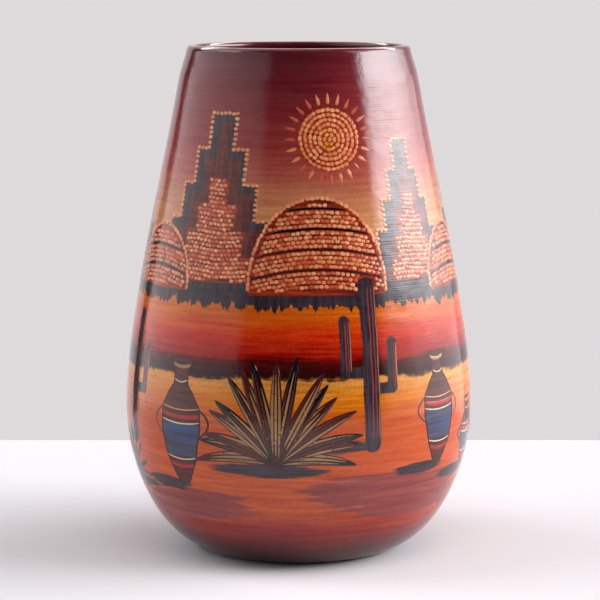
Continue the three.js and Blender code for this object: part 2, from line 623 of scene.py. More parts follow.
@dataclass(frozen=True)
class Sweep(Motif):
    """A patch of darker ground, brushed on in level strokes that end at different lengths."""

    half_width: float
    half_height: float
    slope: float

    def outline(self, x: np.ndarray, y: np.ndarray) -> np.ndarray:
        """Level distance to a leaning oval: below 0 inside it."""
        half = self.half_width * np.sqrt(np.clip(1 - (y / self.half_height) ** 2, 0, 1))
        return np.where(np.abs(y) < self.half_height, np.abs(x - self.slope * y) - half, 99.0)


@dataclass(frozen=True)
class Sun(Motif):
    """A sun: a disc with rings of dots and a wreath of short rays. Its base is its centre."""

    disc: float
    rays: float


@dataclass(frozen=True)
class Cactus(Motif):
    """A column cactus with arms that turn up.

    Each arm has its side, the height where it leaves the trunk, its reach and its top. Its level
    and its upright stretch are thinner than the trunk by the two shares.
    """

    height: float
    girth: float
    arms: tuple
    level_share: float = 0.62
    upright_share: float = 0.66

    def bars(self) -> list:
        """The trunk and each arm's two stretches.

        Returns:
            For each bar, its two ends and its radius.
        """
        bars = [(((0, 0), (0, self.height - self.girth)), self.girth)]
        for side, low, reach, top in self.arms:
            elbow = (side * reach, low)
            bars.append((((0, low), elbow), self.level_share * self.girth))
            bars.append(((elbow, (side * reach, top)), self.upright_share * self.girth))
        return bars

    def outline(self, x: np.ndarray, y: np.ndarray) -> np.ndarray:
        """Signed distance to the cactus, as the nearest of its bars."""
        return np.minimum.reduce([capsule_field(x, y, ends, radius) for ends, radius in self.bars()])


@dataclass(frozen=True)
class Jar(Motif):
    """A tall jar with a pointed foot, a round shoulder and a flared neck.

    A broad band goes round it. The band's middle and half its height are shares of the jar's height,
    and it stops short of the outline by the inset.
    """

    height: float
    girth: float
    band_middle: float = 0.36
    band_half: float = 0.13
    band_inset: float = 0.6

    def half_width(self, y: np.ndarray) -> np.ndarray:
        """Half the jar's width at each height, as a smooth line through its turning points."""
        t = y / self.height
        return self.girth * np.interp(
            t,
            [0, 0.04, 0.2, 0.45, 0.62, 0.74, 0.8, 0.9, 0.97, 1],
            [0.2, 0.34, 0.72, 1, 0.96, 0.6, 0.36, 0.34, 0.5, 0.52],
        )

    def outline(self, x: np.ndarray, y: np.ndarray) -> np.ndarray:
        """Roughly signed distance to the jar, from its half width and its two ends."""
        side = (np.abs(x) - self.half_width(y)) * 0.8
        return np.maximum(side, np.maximum(-y, y - self.height))

    def band(self, x: np.ndarray, y: np.ndarray) -> np.ndarray:
        """Roughly signed distance to the broad band."""
        up = np.abs(y - self.band_middle * self.height) - self.band_half * self.height
        return np.maximum(self.outline(x, y) + self.band_inset, up)


@dataclass(frozen=True)
class Agave(Motif):
    """An agave: a fan of pointed leaves that rise from one heart and droop at their tips."""

    leaves: int
    length: float
    width: float


MOUNTAINS = [
    StepMountain(bearing, base, half_width, course, courses)
    for bearing, base, half_width, course, courses in (
        (-34, 137, 36, 16.5, 5),
        (47, 137, 27, 14, 5),
        (98, 138, 33, 17, 5),
        (158, 137, 24, 14, 4),
        (-152, 138, 35, 16.5, 5),
        (-88, 137, 24, 14, 4),
    )
]
HILLS = [
    TerracedHill(bearing, base, half_width, height)
    for bearing, base, half_width, height in (
        (7, 136, 34, 45),
        (-61, 136, 25, 30),
        (72, 135, 25, 31),
        (128, 136, 33, 43),
        (-178, 135, 27, 33),
        (-120, 136, 31, 38),
    )
]
SWEEPS = [
    Sweep(bearing, base, half_width, half_height, slope)
    for bearing, base, half_width, half_height, slope in (
        (38, 39, 46, 13, -1.3),
        (-42, 33, 34, 9, 1.4),
        (112, 37, 52, 12, 1.2),
        (-112, 36, 48, 12, -1.2),
        (175, 33, 44, 10, 1.1),
    )
]
SUNS = [
    Sun(bearing, centre, 15, 21.5)
    for bearing, centre in ((13, 208), (130, 207), (-118, 204), (-177, 205))
]
CACTI = [
    Cactus(24, 66, 78, 4.2, ((-1, 34, 12.5, 58), (1, 26, 11.5, 47))),
    Cactus(-68, 62, 62, 3.8, ((1, 24, 11, 44),)),
    Cactus(104, 64, 74, 4.1, ((-1, 24, 11.5, 50), (1, 36, 12, 60))),
    Cactus(178, 64, 66, 4, ((-1, 30, 12, 52),)),
    Cactus(-120, 66, 76, 4.2, ((-1, 28, 12, 48), (1, 38, 12, 60))),
]
JARS = [
    Jar(bearing, base, height, girth)
    for bearing, base, height, girth in (
        (-41, 44, 60, 12.5),
        (52, 52, 54, 11.5),
        (74, 46, 34, 10),
        (146, 48, 58, 12),
        (-149, 46, 54, 11.5),
        (-98, 48, 36, 10),
    )
]
AGAVES = [
    Agave(bearing, base, leaves, length, width)
    for bearing, base, leaves, length, width in (
        (-7, 57, 17, 50, 8.2),
        (124, 56, 13, 40, 6.6),
        (-176, 50, 11, 28, 5),
        (-74, 42, 9, 23, 4.2),
        (-128, 50, 11, 30, 5.2),
    )
]


class Streak(Enum):
    """Which way the brush ran: the noise that frays an edge is drawn out along it."""

    LEVEL = (0.07, 0.07, 1.0)
    UPRIGHT = (1.0, 1.0, 0.07)


@dataclass(frozen=True)
class Layer:
    """A large painted shape: its two tones, and how the brush that laid it ran and frayed its edge.

    The brush is the width in millimetres of the bristle tufts whose ends show at the edge, and the
    fray is how far they stray from it.
    """

    name: str
    dark: Pigment
    light: Pigment
    streak: Streak
    fray: float
    brush: float = 1.6
    soft: float = 0.22


LAYERS = [
    Layer("ground_sweep", Pigment.DUSTY_RED, Pigment.ROSE, Streak.LEVEL, 45.0, 2.4, 2.5),
    Layer("cast_shadow", Pigment.CHARCOAL, Pigment.SLATE, Streak.LEVEL, 1.6, 1.6, 0.3),
    Layer("mountain_foot", Pigment.CHARCOAL, Pigment.SLATE, Streak.UPRIGHT, 8.0, 3.4),
    Layer("mountain", Pigment.CHARCOAL, Pigment.SLATE, Streak.UPRIGHT, 0.3),
    Layer("mountain_face", Pigment.OXBLOOD, Pigment.RUST, Streak.UPRIGHT, 1.0),
    Layer("sown_field", Pigment.OXBLOOD, Pigment.BRICK, Streak.LEVEL, 0.5),
    Layer("hill", Pigment.OXBLOOD, Pigment.BRICK, Streak.LEVEL, 0.4),
    Layer("sun_disc", Pigment.EMBER, Pigment.BRICK, Streak.LEVEL, 0.4),
    Layer("cactus", Pigment.CHARCOAL, Pigment.SLATE, Streak.UPRIGHT, 0.3),
    Layer("jar", Pigment.OXBLOOD, Pigment.UMBER, Streak.LEVEL, 0.2),
    Layer("jar_band", Pigment.SLATE, Pigment.BLUE, Streak.LEVEL, 0.3),
    Layer("agave_heart", Pigment.BLACK, Pigment.OXBLOOD, Streak.UPRIGHT, 1.2),
]


@dataclass(frozen=True)
class VarnishRuns:
    """Upright runs of varnish, full of tiny bubbles.

    Each place is a run's bearing in degrees and its lower and upper end in millimetres. The radius
    turns bearings into millimetres, and bubbles is what their height is multiplied by in a run.
    """

    places: tuple = ((-3.4, 221, 247), (-22, 148, 171), (31, 236, 248), (96, 190, 216), (-140, 201, 232))
    radius: float = 62
    half_width: float = 1.3
    bubbles: float = 15

    def strength(self, bearing: np.ndarray, height: np.ndarray) -> np.ndarray:
        """How bubbly the varnish is: full along the middle of a run, and 0 past its sides and ends.

        Args:
            bearing: radians round the vase from the front.
            height: metres above the table.

        Returns:
            The strength of the bubbles at each point.
        """
        strength = np.zeros(np.shape(bearing))
        for middle, low, high in self.places:
            aside = np.abs((bearing - radians(middle) + pi) % (2 * pi) - pi) * self.radius
            inside = (height / MM > low) & (height / MM < high)
            strength = np.maximum(strength, self.bubbles * np.clip(self.half_width - aside, 0, 1) * inside)
        return strength


def painted_fields(surface: Surface, bearing: np.ndarray, height: np.ndarray) -> dict[str, np.ndarray]:
    """The signed distance, in millimetres, from each point to each large painted shape.

    Args:
        surface: the vase's outside.
        bearing: each point's bearing in radians.
        height: each point's height in metres.

    Returns:
        For each layer's name, its field.
    """
    up = height / MM
    across = surface.form.radius(height) / MM
    waver = 0.5 * np.sin(up / 7 + 3 * bearing)
    far = np.full(np.shape(bearing), 99.0)
    fields = {layer.name: far.copy() for layer in LAYERS}

    def meet(name: str, value: np.ndarray) -> None:
        """Adds a shape to a layer, whose field is the nearest of its shapes'."""
        fields[name] = np.minimum(fields[name], value)

    for m in MOUNTAINS:
        x, y = m.local(bearing, up, across)
        x = x + waver
        meet("mountain", m.outline(x, y))
        meet("mountain_face", m.face(x, y))
        meet("mountain_foot", box_field(x, y, m.half_width - 1, -6.5, 3))
        meet("sown_field", m.sown(x, y))
    for h in HILLS:
        x, y = h.local(bearing, up, across)
        x = x + waver
        meet("hill", h.outline(x, y))
        meet("mountain_foot", box_field(x, y, h.half_width - 2, -5.5, 3))
    for s in SUNS:
        x, y = s.local(bearing, up, across)
        meet("sun_disc", np.hypot(x, y) - s.disc)
    for c in CACTI:
        x, y = c.local(bearing, up, across)
        meet("cactus", c.outline(x + waver * 0.5, y))
        meet("cast_shadow", oval_field(x, y, (-20, -1), 7.5, 3.0))
    for j in JARS:
        x, y = j.local(bearing, up, across)
        meet("jar", j.outline(x, y))
        meet("jar_band", j.band(x, y))
        meet("cast_shadow", oval_field(x, y, (-12, -1), 5.5, 3.0))
    for a in AGAVES:
        x, y = a.local(bearing, up, across)
        meet("agave_heart", oval_field(x, y, (0, 2), 1.5, 4.0))
        meet("cast_shadow", oval_field(x, y, (-4, -3), 9, 3.2))
    for g in SWEEPS:
        meet("ground_sweep", g.outline(*g.local(bearing, up, across)))
    return fields


# The brush strokes


@dataclass
class Strokes:
    """Thin raised strokes of paint that lie on the vase, gathered and made into one piece."""

    surface: Surface
    name: str
    sink: float = 0.02 * MM
    rim_shade: float = 0.78
    across: tuple = (-1.0, -0.88, -0.3, 0.3, 0.88, 1.0)
    batches: list = field(default_factory=list)

    def add(
        self, motif: Motif, paths: np.ndarray, widths: np.ndarray, lift: float, tints: np.ndarray
    ) -> None:
        """Adds a batch of strokes.

        Each point of a path becomes a ring of points, set out square to the path at the shares of its
        half width in across. All of them are lifted but the two edges, which sink into the coat.

        Args:
            motif: whose flat millimetres the paths are in.
            paths: (strokes, points, 2).
            widths: the full width at each point, (strokes, points), in millimetres.
            lift: the paint's thickness in metres.
            tints: each stroke's linear colour, (strokes, 3), which darkens towards its rim.
        """
        along = unit(np.gradient(paths, axis=1) + 1e-9)
        sides = np.array(self.across)[None, None, :, None] * left_of(along)[:, :, None]
        offsets = sides * widths[..., None, None] / 2
        spots = paths[:, :, None] + offsets
        height = (spots[..., 1] + motif.base) * MM
        middle = (paths[..., 1] + motif.base) * MM
        bearing = radians(motif.bearing) + spots[..., 0] * MM / self.surface.form.radius(middle)[..., None]
        raised = np.where(np.abs(self.across) < 1, lift, -self.sink)
        points = self.surface.place(bearing, height, raised[None, None, :])
        shade = np.ones(points.shape[1:3])
        shade[[0, -1]] = shade[:, [0, -1]] = self.rim_shade
        self.batches.append((points, tints[:, None, None] * shade[None, :, :, None]))

    def build(self) -> bpy.types.Object:
        """Makes the piece: each stroke is a closed sleeve, with a cap at each end.

        A sleeve is one ring of points for each point of the stroke's path, joined ring to ring by
        four-sided faces.

        Returns:
            The piece, with each point's colour in its pigment attribute.
        """
        all_points, all_faces, all_tints, start = [], [], [], 0
        for points, tints in self.batches:
            strokes, steps, ring, _ = points.shape
            number = start + np.arange(strokes * steps * ring).reshape(strokes, steps, ring)
            here, there = number[:, :-1], number[:, 1:]
            sides = np.stack([here, there, np.roll(there, -1, axis=2), np.roll(here, -1, axis=2)], axis=-1)
            caps = [number[:, 0], number[:, -1, ::-1]]
            all_faces += sides.reshape(-1, 4).tolist()
            all_faces += np.concatenate(caps).tolist()
            all_points.append(points.reshape(-1, 3))
            all_tints.append(tints.reshape(-1, 3))
            start += strokes * steps * ring
        piece = make_mesh(self.name, np.concatenate(all_points), all_faces)
        piece.data.set_sharp_from_angle(angle=radians(40))
        tint = piece.data.attributes.new("pigment", "FLOAT_COLOR", "POINT")
        colours = np.concatenate(all_tints)
        opaque = np.column_stack([colours, np.ones(len(colours))])
        tint.data.foreach_set("color", opaque.astype(np.float32).ravel())
        return piece


def tints_of(draw: np.random.Generator, pigments: list, count: int, spread: float = 0.12) -> np.ndarray:
    """Linear colours picked at random from some pigments, each a little lighter or darker.

    Args:
        draw: the seeded source of chance.
        pigments: what to pick from.
        count: how many colours are wanted.
        spread: how far the lightness may stray, as a share.

    Returns:
        An array of (count, 3).
    """
    palette = np.array([linear(p)[:3] for p in pigments])
    picked = palette[draw.integers(len(palette), size=count)]
    return picked * (1 + spread * draw.uniform(-1, 1, size=(count, 1)))


@dataclass
class Painter:
    """Lays the dots, leaves and lines of the painting over its large shapes."""

    surface: Surface
    seed: int = 7
    dot_spacing: float = 2.35
    row_spacing: float = 2.05
    dot_width: float = 1.9
    paint_lift: float = 0.04 * MM
    leaf_step: float = 0.018 * MM

    def __post_init__(self) -> None:
        """Starts the two pieces and the seeded chance."""
        self.draw = np.random.default_rng(self.seed)
        self.dots = Strokes(self.surface, "painted_dots", across=(-1.0, -0.6, 0.6, 1.0))
        self.lines = Strokes(self.surface, "painted_lines")

    def dab(
        self, motif: Motif, spots: np.ndarray, slant: np.ndarray, pigments: list, size: float = 1.0
    ) -> None:
        """Lays oval dots, each drawn out a little along its slant.

        Args:
            motif: whose flat millimetres the spots are in.
            spots: where the dots lie, (dots, 2).
            slant: the way that each is drawn out, in radians.
            pigments: what their colours are picked from.
            size: their size beside the usual one.
        """
        count = len(spots)
        long = self.dot_width * size * self.draw.uniform(1.02, 1.3, count)
        slant = slant + self.draw.normal(0, 0.18, count)
        # an oval's outline: places along it, and its width at each
        ease = np.array([-0.5, -0.42, -0.18, 0.18, 0.42, 0.5])
        shape = np.array([0.3, 0.68, 1, 1, 0.68, 0.3])
        step = np.stack([np.cos(slant), np.sin(slant)], axis=-1)
        jitter = self.draw.normal(0, 0.13, (count, 2))
        paths = (spots + jitter)[:, None] + step[:, None] * (ease * long[:, None])[..., None]
        widths = self.dot_width * size * self.draw.uniform(0.82, 1.08, (count, 1)) * shape
        self.dots.add(motif, paths, widths, self.paint_lift, tints_of(self.draw, pigments, count))

    def line(self, motif: Motif, path: np.ndarray, width: float, pigments: list, taper: float = 0.35) -> None:
        """Draws one line, whose width wavers a little.

        Args:
            motif: whose flat millimetres the path is in.
            path: the points that the line goes through, (points, 2).
            width: its width in millimetres.
            pigments: what its colour is picked from.
            taper: how much thinner it is at both ends, as a share.
        """
        t = np.linspace(-1, 1, len(path))
        widths = width * (1 - taper * t**4) * self.draw.uniform(0.9, 1.1, len(path))
        tints = tints_of(self.draw, pigments, 1)
        self.lines.add(motif, path[None], widths[None], self.paint_lift * 0.8, tints)

    def mountain(self, m: StepMountain) -> None:
        """Dots the stairs and sows the inner field with rows of dots.

        Args:
            m: the mountain.
        """
        corners = m.stairs()
        run = run_of(corners)
        spots = points_at(corners, run, np.arange(self.dot_spacing / 2, run[-1], self.dot_spacing))
        spots = spots[self.clear_of(m, spots, HILLS)]
        self.dab(m, spots, np.zeros(len(spots)), [Pigment.SALMON, Pigment.APRICOT, Pigment.SALMON])
        rows = np.arange(1.0, m.course * m.courses, self.dot_spacing * 0.86)
        columns = np.arange(-m.half_width, m.half_width, self.dot_spacing * 0.96)
        x, y = np.meshgrid(columns, rows)
        x = x + (np.arange(len(rows)) % 2)[:, None] * self.dot_spacing / 2
        y = y + 0.5 * np.sin(x / 5 + m.bearing)
        kept = m.sown(x, y) < -0.9
        kept[kept] = self.clear_of(m, np.stack([x[kept], y[kept]], axis=-1), HILLS)
        spots = np.stack([x[kept], y[kept]], axis=-1)
        self.dab(m, spots, np.zeros(len(spots)), [Pigment.SALMON, Pigment.APRICOT, Pigment.CORAL], 0.95)

    def clear_of(self, motif: Motif, spots: np.ndarray, fronts: list) -> np.ndarray:
        """Which spots lie beside all motifs in front, with a little room between.

        Args:
            motif: whose flat millimetres the spots are in.
            spots: the places asked about, (spots, 2).
            fronts: the motifs that are painted in front.

        Returns:
            Yes or no for each spot.
        """
        height = spots[:, 1] + motif.base
        across = self.surface.form.radius(height * MM) / MM
        bearing = radians(motif.bearing) + spots[:, 0] / across
        clear = np.full(len(spots), True)
        for front in fronts:
            clear &= front.outline(*front.local(bearing, height, across)) > 0.8
        return clear

    def hill(self, h: TerracedHill) -> None:
        """A dark wall under each terrace, rows of dots along it, and one row along the hill's edge.

        Args:
            h: the hill.
        """
        for step in range(1, int(h.height / h.terrace) + 1):
            x = np.linspace(-h.half_width, h.half_width, 120)
            path = np.stack([x, (step - 0.3) * h.terrace + h.level(x)], axis=-1)
            path = path[(h.outline(path[:, 0], path[:, 1]) < -1.2) & self.clear_of(h, path, CACTI)]
            if len(path) > 12:
                self.line(h, path, 1.3, [Pigment.BLACK, Pigment.OXBLOOD], 0.5)
        column = np.arange(-h.half_width, h.half_width, self.dot_spacing)
        row = np.arange(-8, h.height / self.row_spacing + 8)
        x, n = np.meshgrid(column, row)
        x = x + (n % 2) * self.dot_spacing / 2
        y = (n // 4 - 0.3) * h.terrace + 1.6 + (n % 4) * self.row_spacing + h.level(x)
        kept = (h.outline(x, y) < -2.0) & (y > 0.8)
        kept[kept] = self.clear_of(h, np.stack([x[kept], y[kept]], axis=-1), CACTI)
        slant = -2 * h.crown * x / h.half_width
        warm = [Pigment.SALMON, Pigment.APRICOT, Pigment.SALMON, Pigment.CORAL]
        self.dab(h, np.stack([x[kept], y[kept]], axis=-1), slant[kept], warm)
        angle = np.linspace(0.02, pi - 0.02, 400)
        arc = np.stack([h.half_width * np.cos(angle), h.height * np.sin(angle)], axis=-1)
        run = run_of(arc)
        at = np.arange(self.dot_spacing / 2, run[-1], self.dot_spacing * 1.02)
        heading = points_at(np.gradient(arc, axis=0), run, at)
        slant = np.arctan2(heading[:, 1], heading[:, 0])
        self.dab(h, points_at(arc, run, at), slant, [Pigment.APRICOT, Pigment.SALMON], 1.08)

    def sun(self, s: Sun) -> None:
        """Rings of dots from the centre out, then short rays that point away from it.

        Args:
            s: the sun.
        """
        rings = round(s.disc / self.row_spacing)
        for ring in range(rings):
            radius = ring * (s.disc - 1.2) / (rings - 1)
            count = max(1, round(2 * pi * radius / self.dot_spacing))
            angle = np.arange(count) * 2 * pi / count + ring
            spots = radius * np.stack([np.cos(angle), np.sin(angle)], axis=-1)
            warm = [Pigment.APRICOT, Pigment.GOLD] if ring < 3 else [Pigment.SALMON, Pigment.APRICOT]
            self.dab(s, spots, angle + pi / 2, warm)
        rays = 24
        angle = np.arange(rays) * 2 * pi / rays
        out = np.stack([np.cos(angle), np.sin(angle)], axis=-1)
        reach = np.linspace(s.disc + 1.4, s.rays, 5)
        paths = out[:, None] * reach[None, :, None]
        widths = np.tile(1.7 * np.array([0.7, 1, 0.85, 0.55, 0.15]), (rays, 1))
        tints = tints_of(self.draw, [Pigment.SALMON, Pigment.CORAL], rays)
        self.lines.add(s, paths, widths, self.paint_lift, tints)

    def cactus(self, c: Cactus) -> None:
        """Lighter ribs along the trunk and the arms, and a pale edge where the sun catches them.

        Args:
            c: the cactus.
        """
        for (low, high), radius in c.bars():
            low, high = np.array(low, float), np.array(high, float)
            if abs(high[0] - low[0]) > 1:
                continue
            for share, width, pigments in (
                (0.1, 0.75, [Pigment.UMBER, Pigment.DUSTY_RED]),
                (0.52, 0.55, [Pigment.DUSTY_RED]),
                (-0.5, 0.6, [Pigment.SLATE]),
                (0.9, 0.5, [Pigment.TAN, Pigment.SALMON]),
            ):
                t = np.linspace(0.03, 1, 30)[:, None]
                path = low + (high - low) * t + np.array([share * radius, 0])
                path[:, 0] += 0.12 * np.sin(path[:, 1] / 4 + share * 9)
                self.line(c, path, width, pigments)

    def jar(self, j: Jar) -> None:
        """Bands across the jar that bow down at the middle, a dark outline and two handles.

        Args:
            j: the jar.
        """
        for share, width, pigments in (
            (0.22, 0.7, [Pigment.CREAM]),
            (0.51, 0.7, [Pigment.CREAM]),
            (0.56, 2.2, [Pigment.RED]),
            (0.62, 0.6, [Pigment.APRICOT]),
            (0.96, 1.6, [Pigment.TAN]),
            (0.16, 1.8, [Pigment.RED]),
            (0.84, 0.6, [Pigment.CREAM]),
        ):
            half = float(j.half_width(np.array(share * j.height))) - 0.35
            x = np.linspace(-half, half, 12)
            path = np.stack([x, share * j.height - 1.3 * (1 - (x / half) ** 2)], axis=-1)
            self.line(j, path, width, pigments, 0.25)
        y = np.linspace(0.5, j.height, 36)
        for side in (-1, 1):
            path = np.stack([side * j.half_width(y), y], axis=-1)
            self.line(j, path, 0.7, [Pigment.BLACK])
            handle = np.linspace(-1, 1, 12)
            bow = j.girth * (0.95 + 0.42 * (1 - handle**2))
            path = np.stack([side * bow, (0.5 + 0.11 * handle) * j.height], axis=-1)
            self.line(j, path, 1.2, [Pigment.BLACK, Pigment.UMBER])

    def agave(self, a: Agave) -> None:
        """Fans out dark leaves, the outer ones first, each with three lighter strokes along it.

        Each leaf lies a little higher than the ones it crosses, so that their faces never meet.

        Args:
            a: the agave.
        """
        order = np.argsort(-np.abs(np.linspace(-1, 1, a.leaves)))
        fan = np.linspace(-1, 1, a.leaves)[order]
        t = np.linspace(0, 1, 36)
        for place, turn in enumerate(fan):
            lift = self.paint_lift / 2 + self.leaf_step * (place // 2)
            angle = turn * radians(78) + self.draw.normal(0, 0.04)
            length = a.length * (1 - 0.22 * turn**2) * self.draw.uniform(0.9, 1.05)
            droop = 0.26 * length * abs(turn) ** 1.3
            x = np.sin(angle) * length * t + np.sign(turn) * droop * 0.35 * t**2
            y = np.cos(angle) * length * t - droop * t**2.2 + 1
            spine = np.stack([x, y], axis=-1)
            body = a.width * (0.45 + 1.5 * t) * (1 - t) ** 0.75 + 0.25
            tints = tints_of(self.draw, [Pigment.BLACK, Pigment.OXBLOOD], 1)
            self.lines.add(a, spine[None], body[None], lift, tints)
            beside = left_of(unit(np.gradient(spine, axis=0)))
            for share in (-0.27, 0.02, 0.3):
                first, last = self.draw.uniform(0.05, 0.16), self.draw.uniform(0.72, 0.92)
                s = np.linspace(first, last, 20)
                leaf = np.interp(s, t, body)
                mid = points_at(spine, t, s) + points_at(beside, t, s) * share * leaf[:, None]
                wide = 0.2 * leaf * np.sin(pi * np.linspace(0.12, 0.95, 20)) + 0.12
                tints = tints_of(self.draw, [Pigment.TAN, Pigment.TAN, Pigment.UMBER], 1)
                self.lines.add(a, mid[None], wide[None], lift + self.leaf_step * 0.6, tints)

    def paint(self) -> list[bpy.types.Object]:
        """Paints every motif.

        Returns:
            The piece of dots and the piece of lines.
        """
        for group, lay in (
            (MOUNTAINS, self.mountain),
            (HILLS, self.hill),
            (SUNS, self.sun),
            (CACTI, self.cactus),
            (JARS, self.jar),
            (AGAVES, self.agave),
        ):
            for motif in group:
                lay(motif)
        return [self.dots.build(), self.lines.build()]


# The finishes


@dataclass(frozen=True)
class Varnish:
    """Clear gloss varnish, brushed on while the vase turned.

    It has an IOR of 1.5 and a soft gloss. The bristles leave fine level ridges that break up the
    edges of reflections, and it dries with a slow swell, and with tiny bubbles where it ran. It
    deepens the paint under it to the share in depth.

    The ridge_depth is how deep a ridge is that spans the noise's whole range. The two shares say how
    much the bristles and the swell add to the noise, and draw_out is how slowly the ridges change
    round the vase, beside how fast they change up it.
    """

    ior: float = 1.5
    gloss: float = 0.13
    depth: float = 0.83
    ridge_spacing: float = 0.8 * MM
    ridge_depth: float = 0.024 * MM
    bristle_spacing: float = 1.1 * MM
    bristle_share: float = 0.3
    swell_spacing: float = 12 * MM
    swell_share: float = 10.0
    bubble_spacing: float = 0.9091 * MM
    draw_out: float = 0.035

    def deepened(self, tree: bpy.types.NodeTree, colour: bpy.types.NodeSocket) -> bpy.types.NodeSocket:
        """The dry paint's colour as it looks when wet with varnish, which is darker."""
        wet = {0: colour, "Scale": self.depth}
        return add(tree, "ShaderNodeVectorMath", wet, operation="SCALE").outputs[0]

    def ridges(self, tree: bpy.types.NodeTree, position: bpy.types.NodeSocket) -> bpy.types.NodeSocket:
        """The brushed varnish's height: fine level noise, wavy level bands and a slow swell.

        Args:
            tree: the material's nodes.
            position: where on the piece a point lies.

        Returns:
            The height, as a share of the ridges' depth.
        """
        drawn = (self.draw_out, self.draw_out, 1.0)
        level = add(tree, "ShaderNodeVectorMath", {0: position, 1: drawn}, operation="MULTIPLY").outputs[0]
        fine = {"Vector": level, "Scale": 1 / self.ridge_spacing, "Detail": 1.0, "Roughness": 0.4}
        ridges = add(tree, "ShaderNodeTexNoise", fine).outputs[0]
        # a wave of scale 1 repeats every pi / 10
        bands = {"Vector": level, "Scale": 0.1 * pi / self.bristle_spacing, "Distortion": 5.0, "Detail": 1.0}
        bristles = add(tree, "ShaderNodeTexWave", bands, bands_direction="Z").outputs["Fac"]
        both = {0: bristles, 1: self.bristle_share, 2: ridges}
        ridges = add(tree, "ShaderNodeMath", both, operation="MULTIPLY_ADD").outputs[0]
        slow = {"Vector": position, "Scale": 1 / self.swell_spacing, "Detail": 2.0}
        swell = add(tree, "ShaderNodeTexNoise", slow).outputs[0]
        both = {0: swell, 1: self.swell_share, 2: ridges}
        return add(tree, "ShaderNodeMath", both, operation="MULTIPLY_ADD").outputs[0]

    def cover(self, tree: bpy.types.NodeTree, shader: bpy.types.Node, position: bpy.types.NodeSocket) -> None:
        """Puts the varnish on a paint's shader as a coat, with its ridges, swell and bubbles.

        Args:
            tree: the material's nodes.
            shader: the paint's shader, which the coat lies on.
            position: where on the piece a point lies.
        """
        shader.inputs["Coat Weight"].default_value = 1.0
        shader.inputs["Coat Roughness"].default_value = self.gloss
        shader.inputs["Coat IOR"].default_value = self.ior
        shader.inputs["Specular IOR Level"].default_value = 0.0
        fine = {"Vector": position, "Scale": 1 / self.bubble_spacing, "Detail": 2.0}
        fizz = add(tree, "ShaderNodeTexNoise", fine).outputs[0]
        fizz = add(tree, "ShaderNodeMath", {0: fizz, 1: 0.5}, operation="SUBTRACT").outputs[0]
        run = add(tree, "ShaderNodeAttribute", attribute_name="varnish_run").outputs["Fac"]
        both = {0: fizz, 1: run, 2: self.ridges(tree, position)}
        bubbly = add(tree, "ShaderNodeMath", both, operation="MULTIPLY_ADD").outputs[0]
        bump = add(tree, "ShaderNodeBump", {"Height": bubbly, "Distance": self.ridge_depth, "Strength": 1.0})
        tree.links.new(bump.outputs[0], shader.inputs["Coat Normal"])


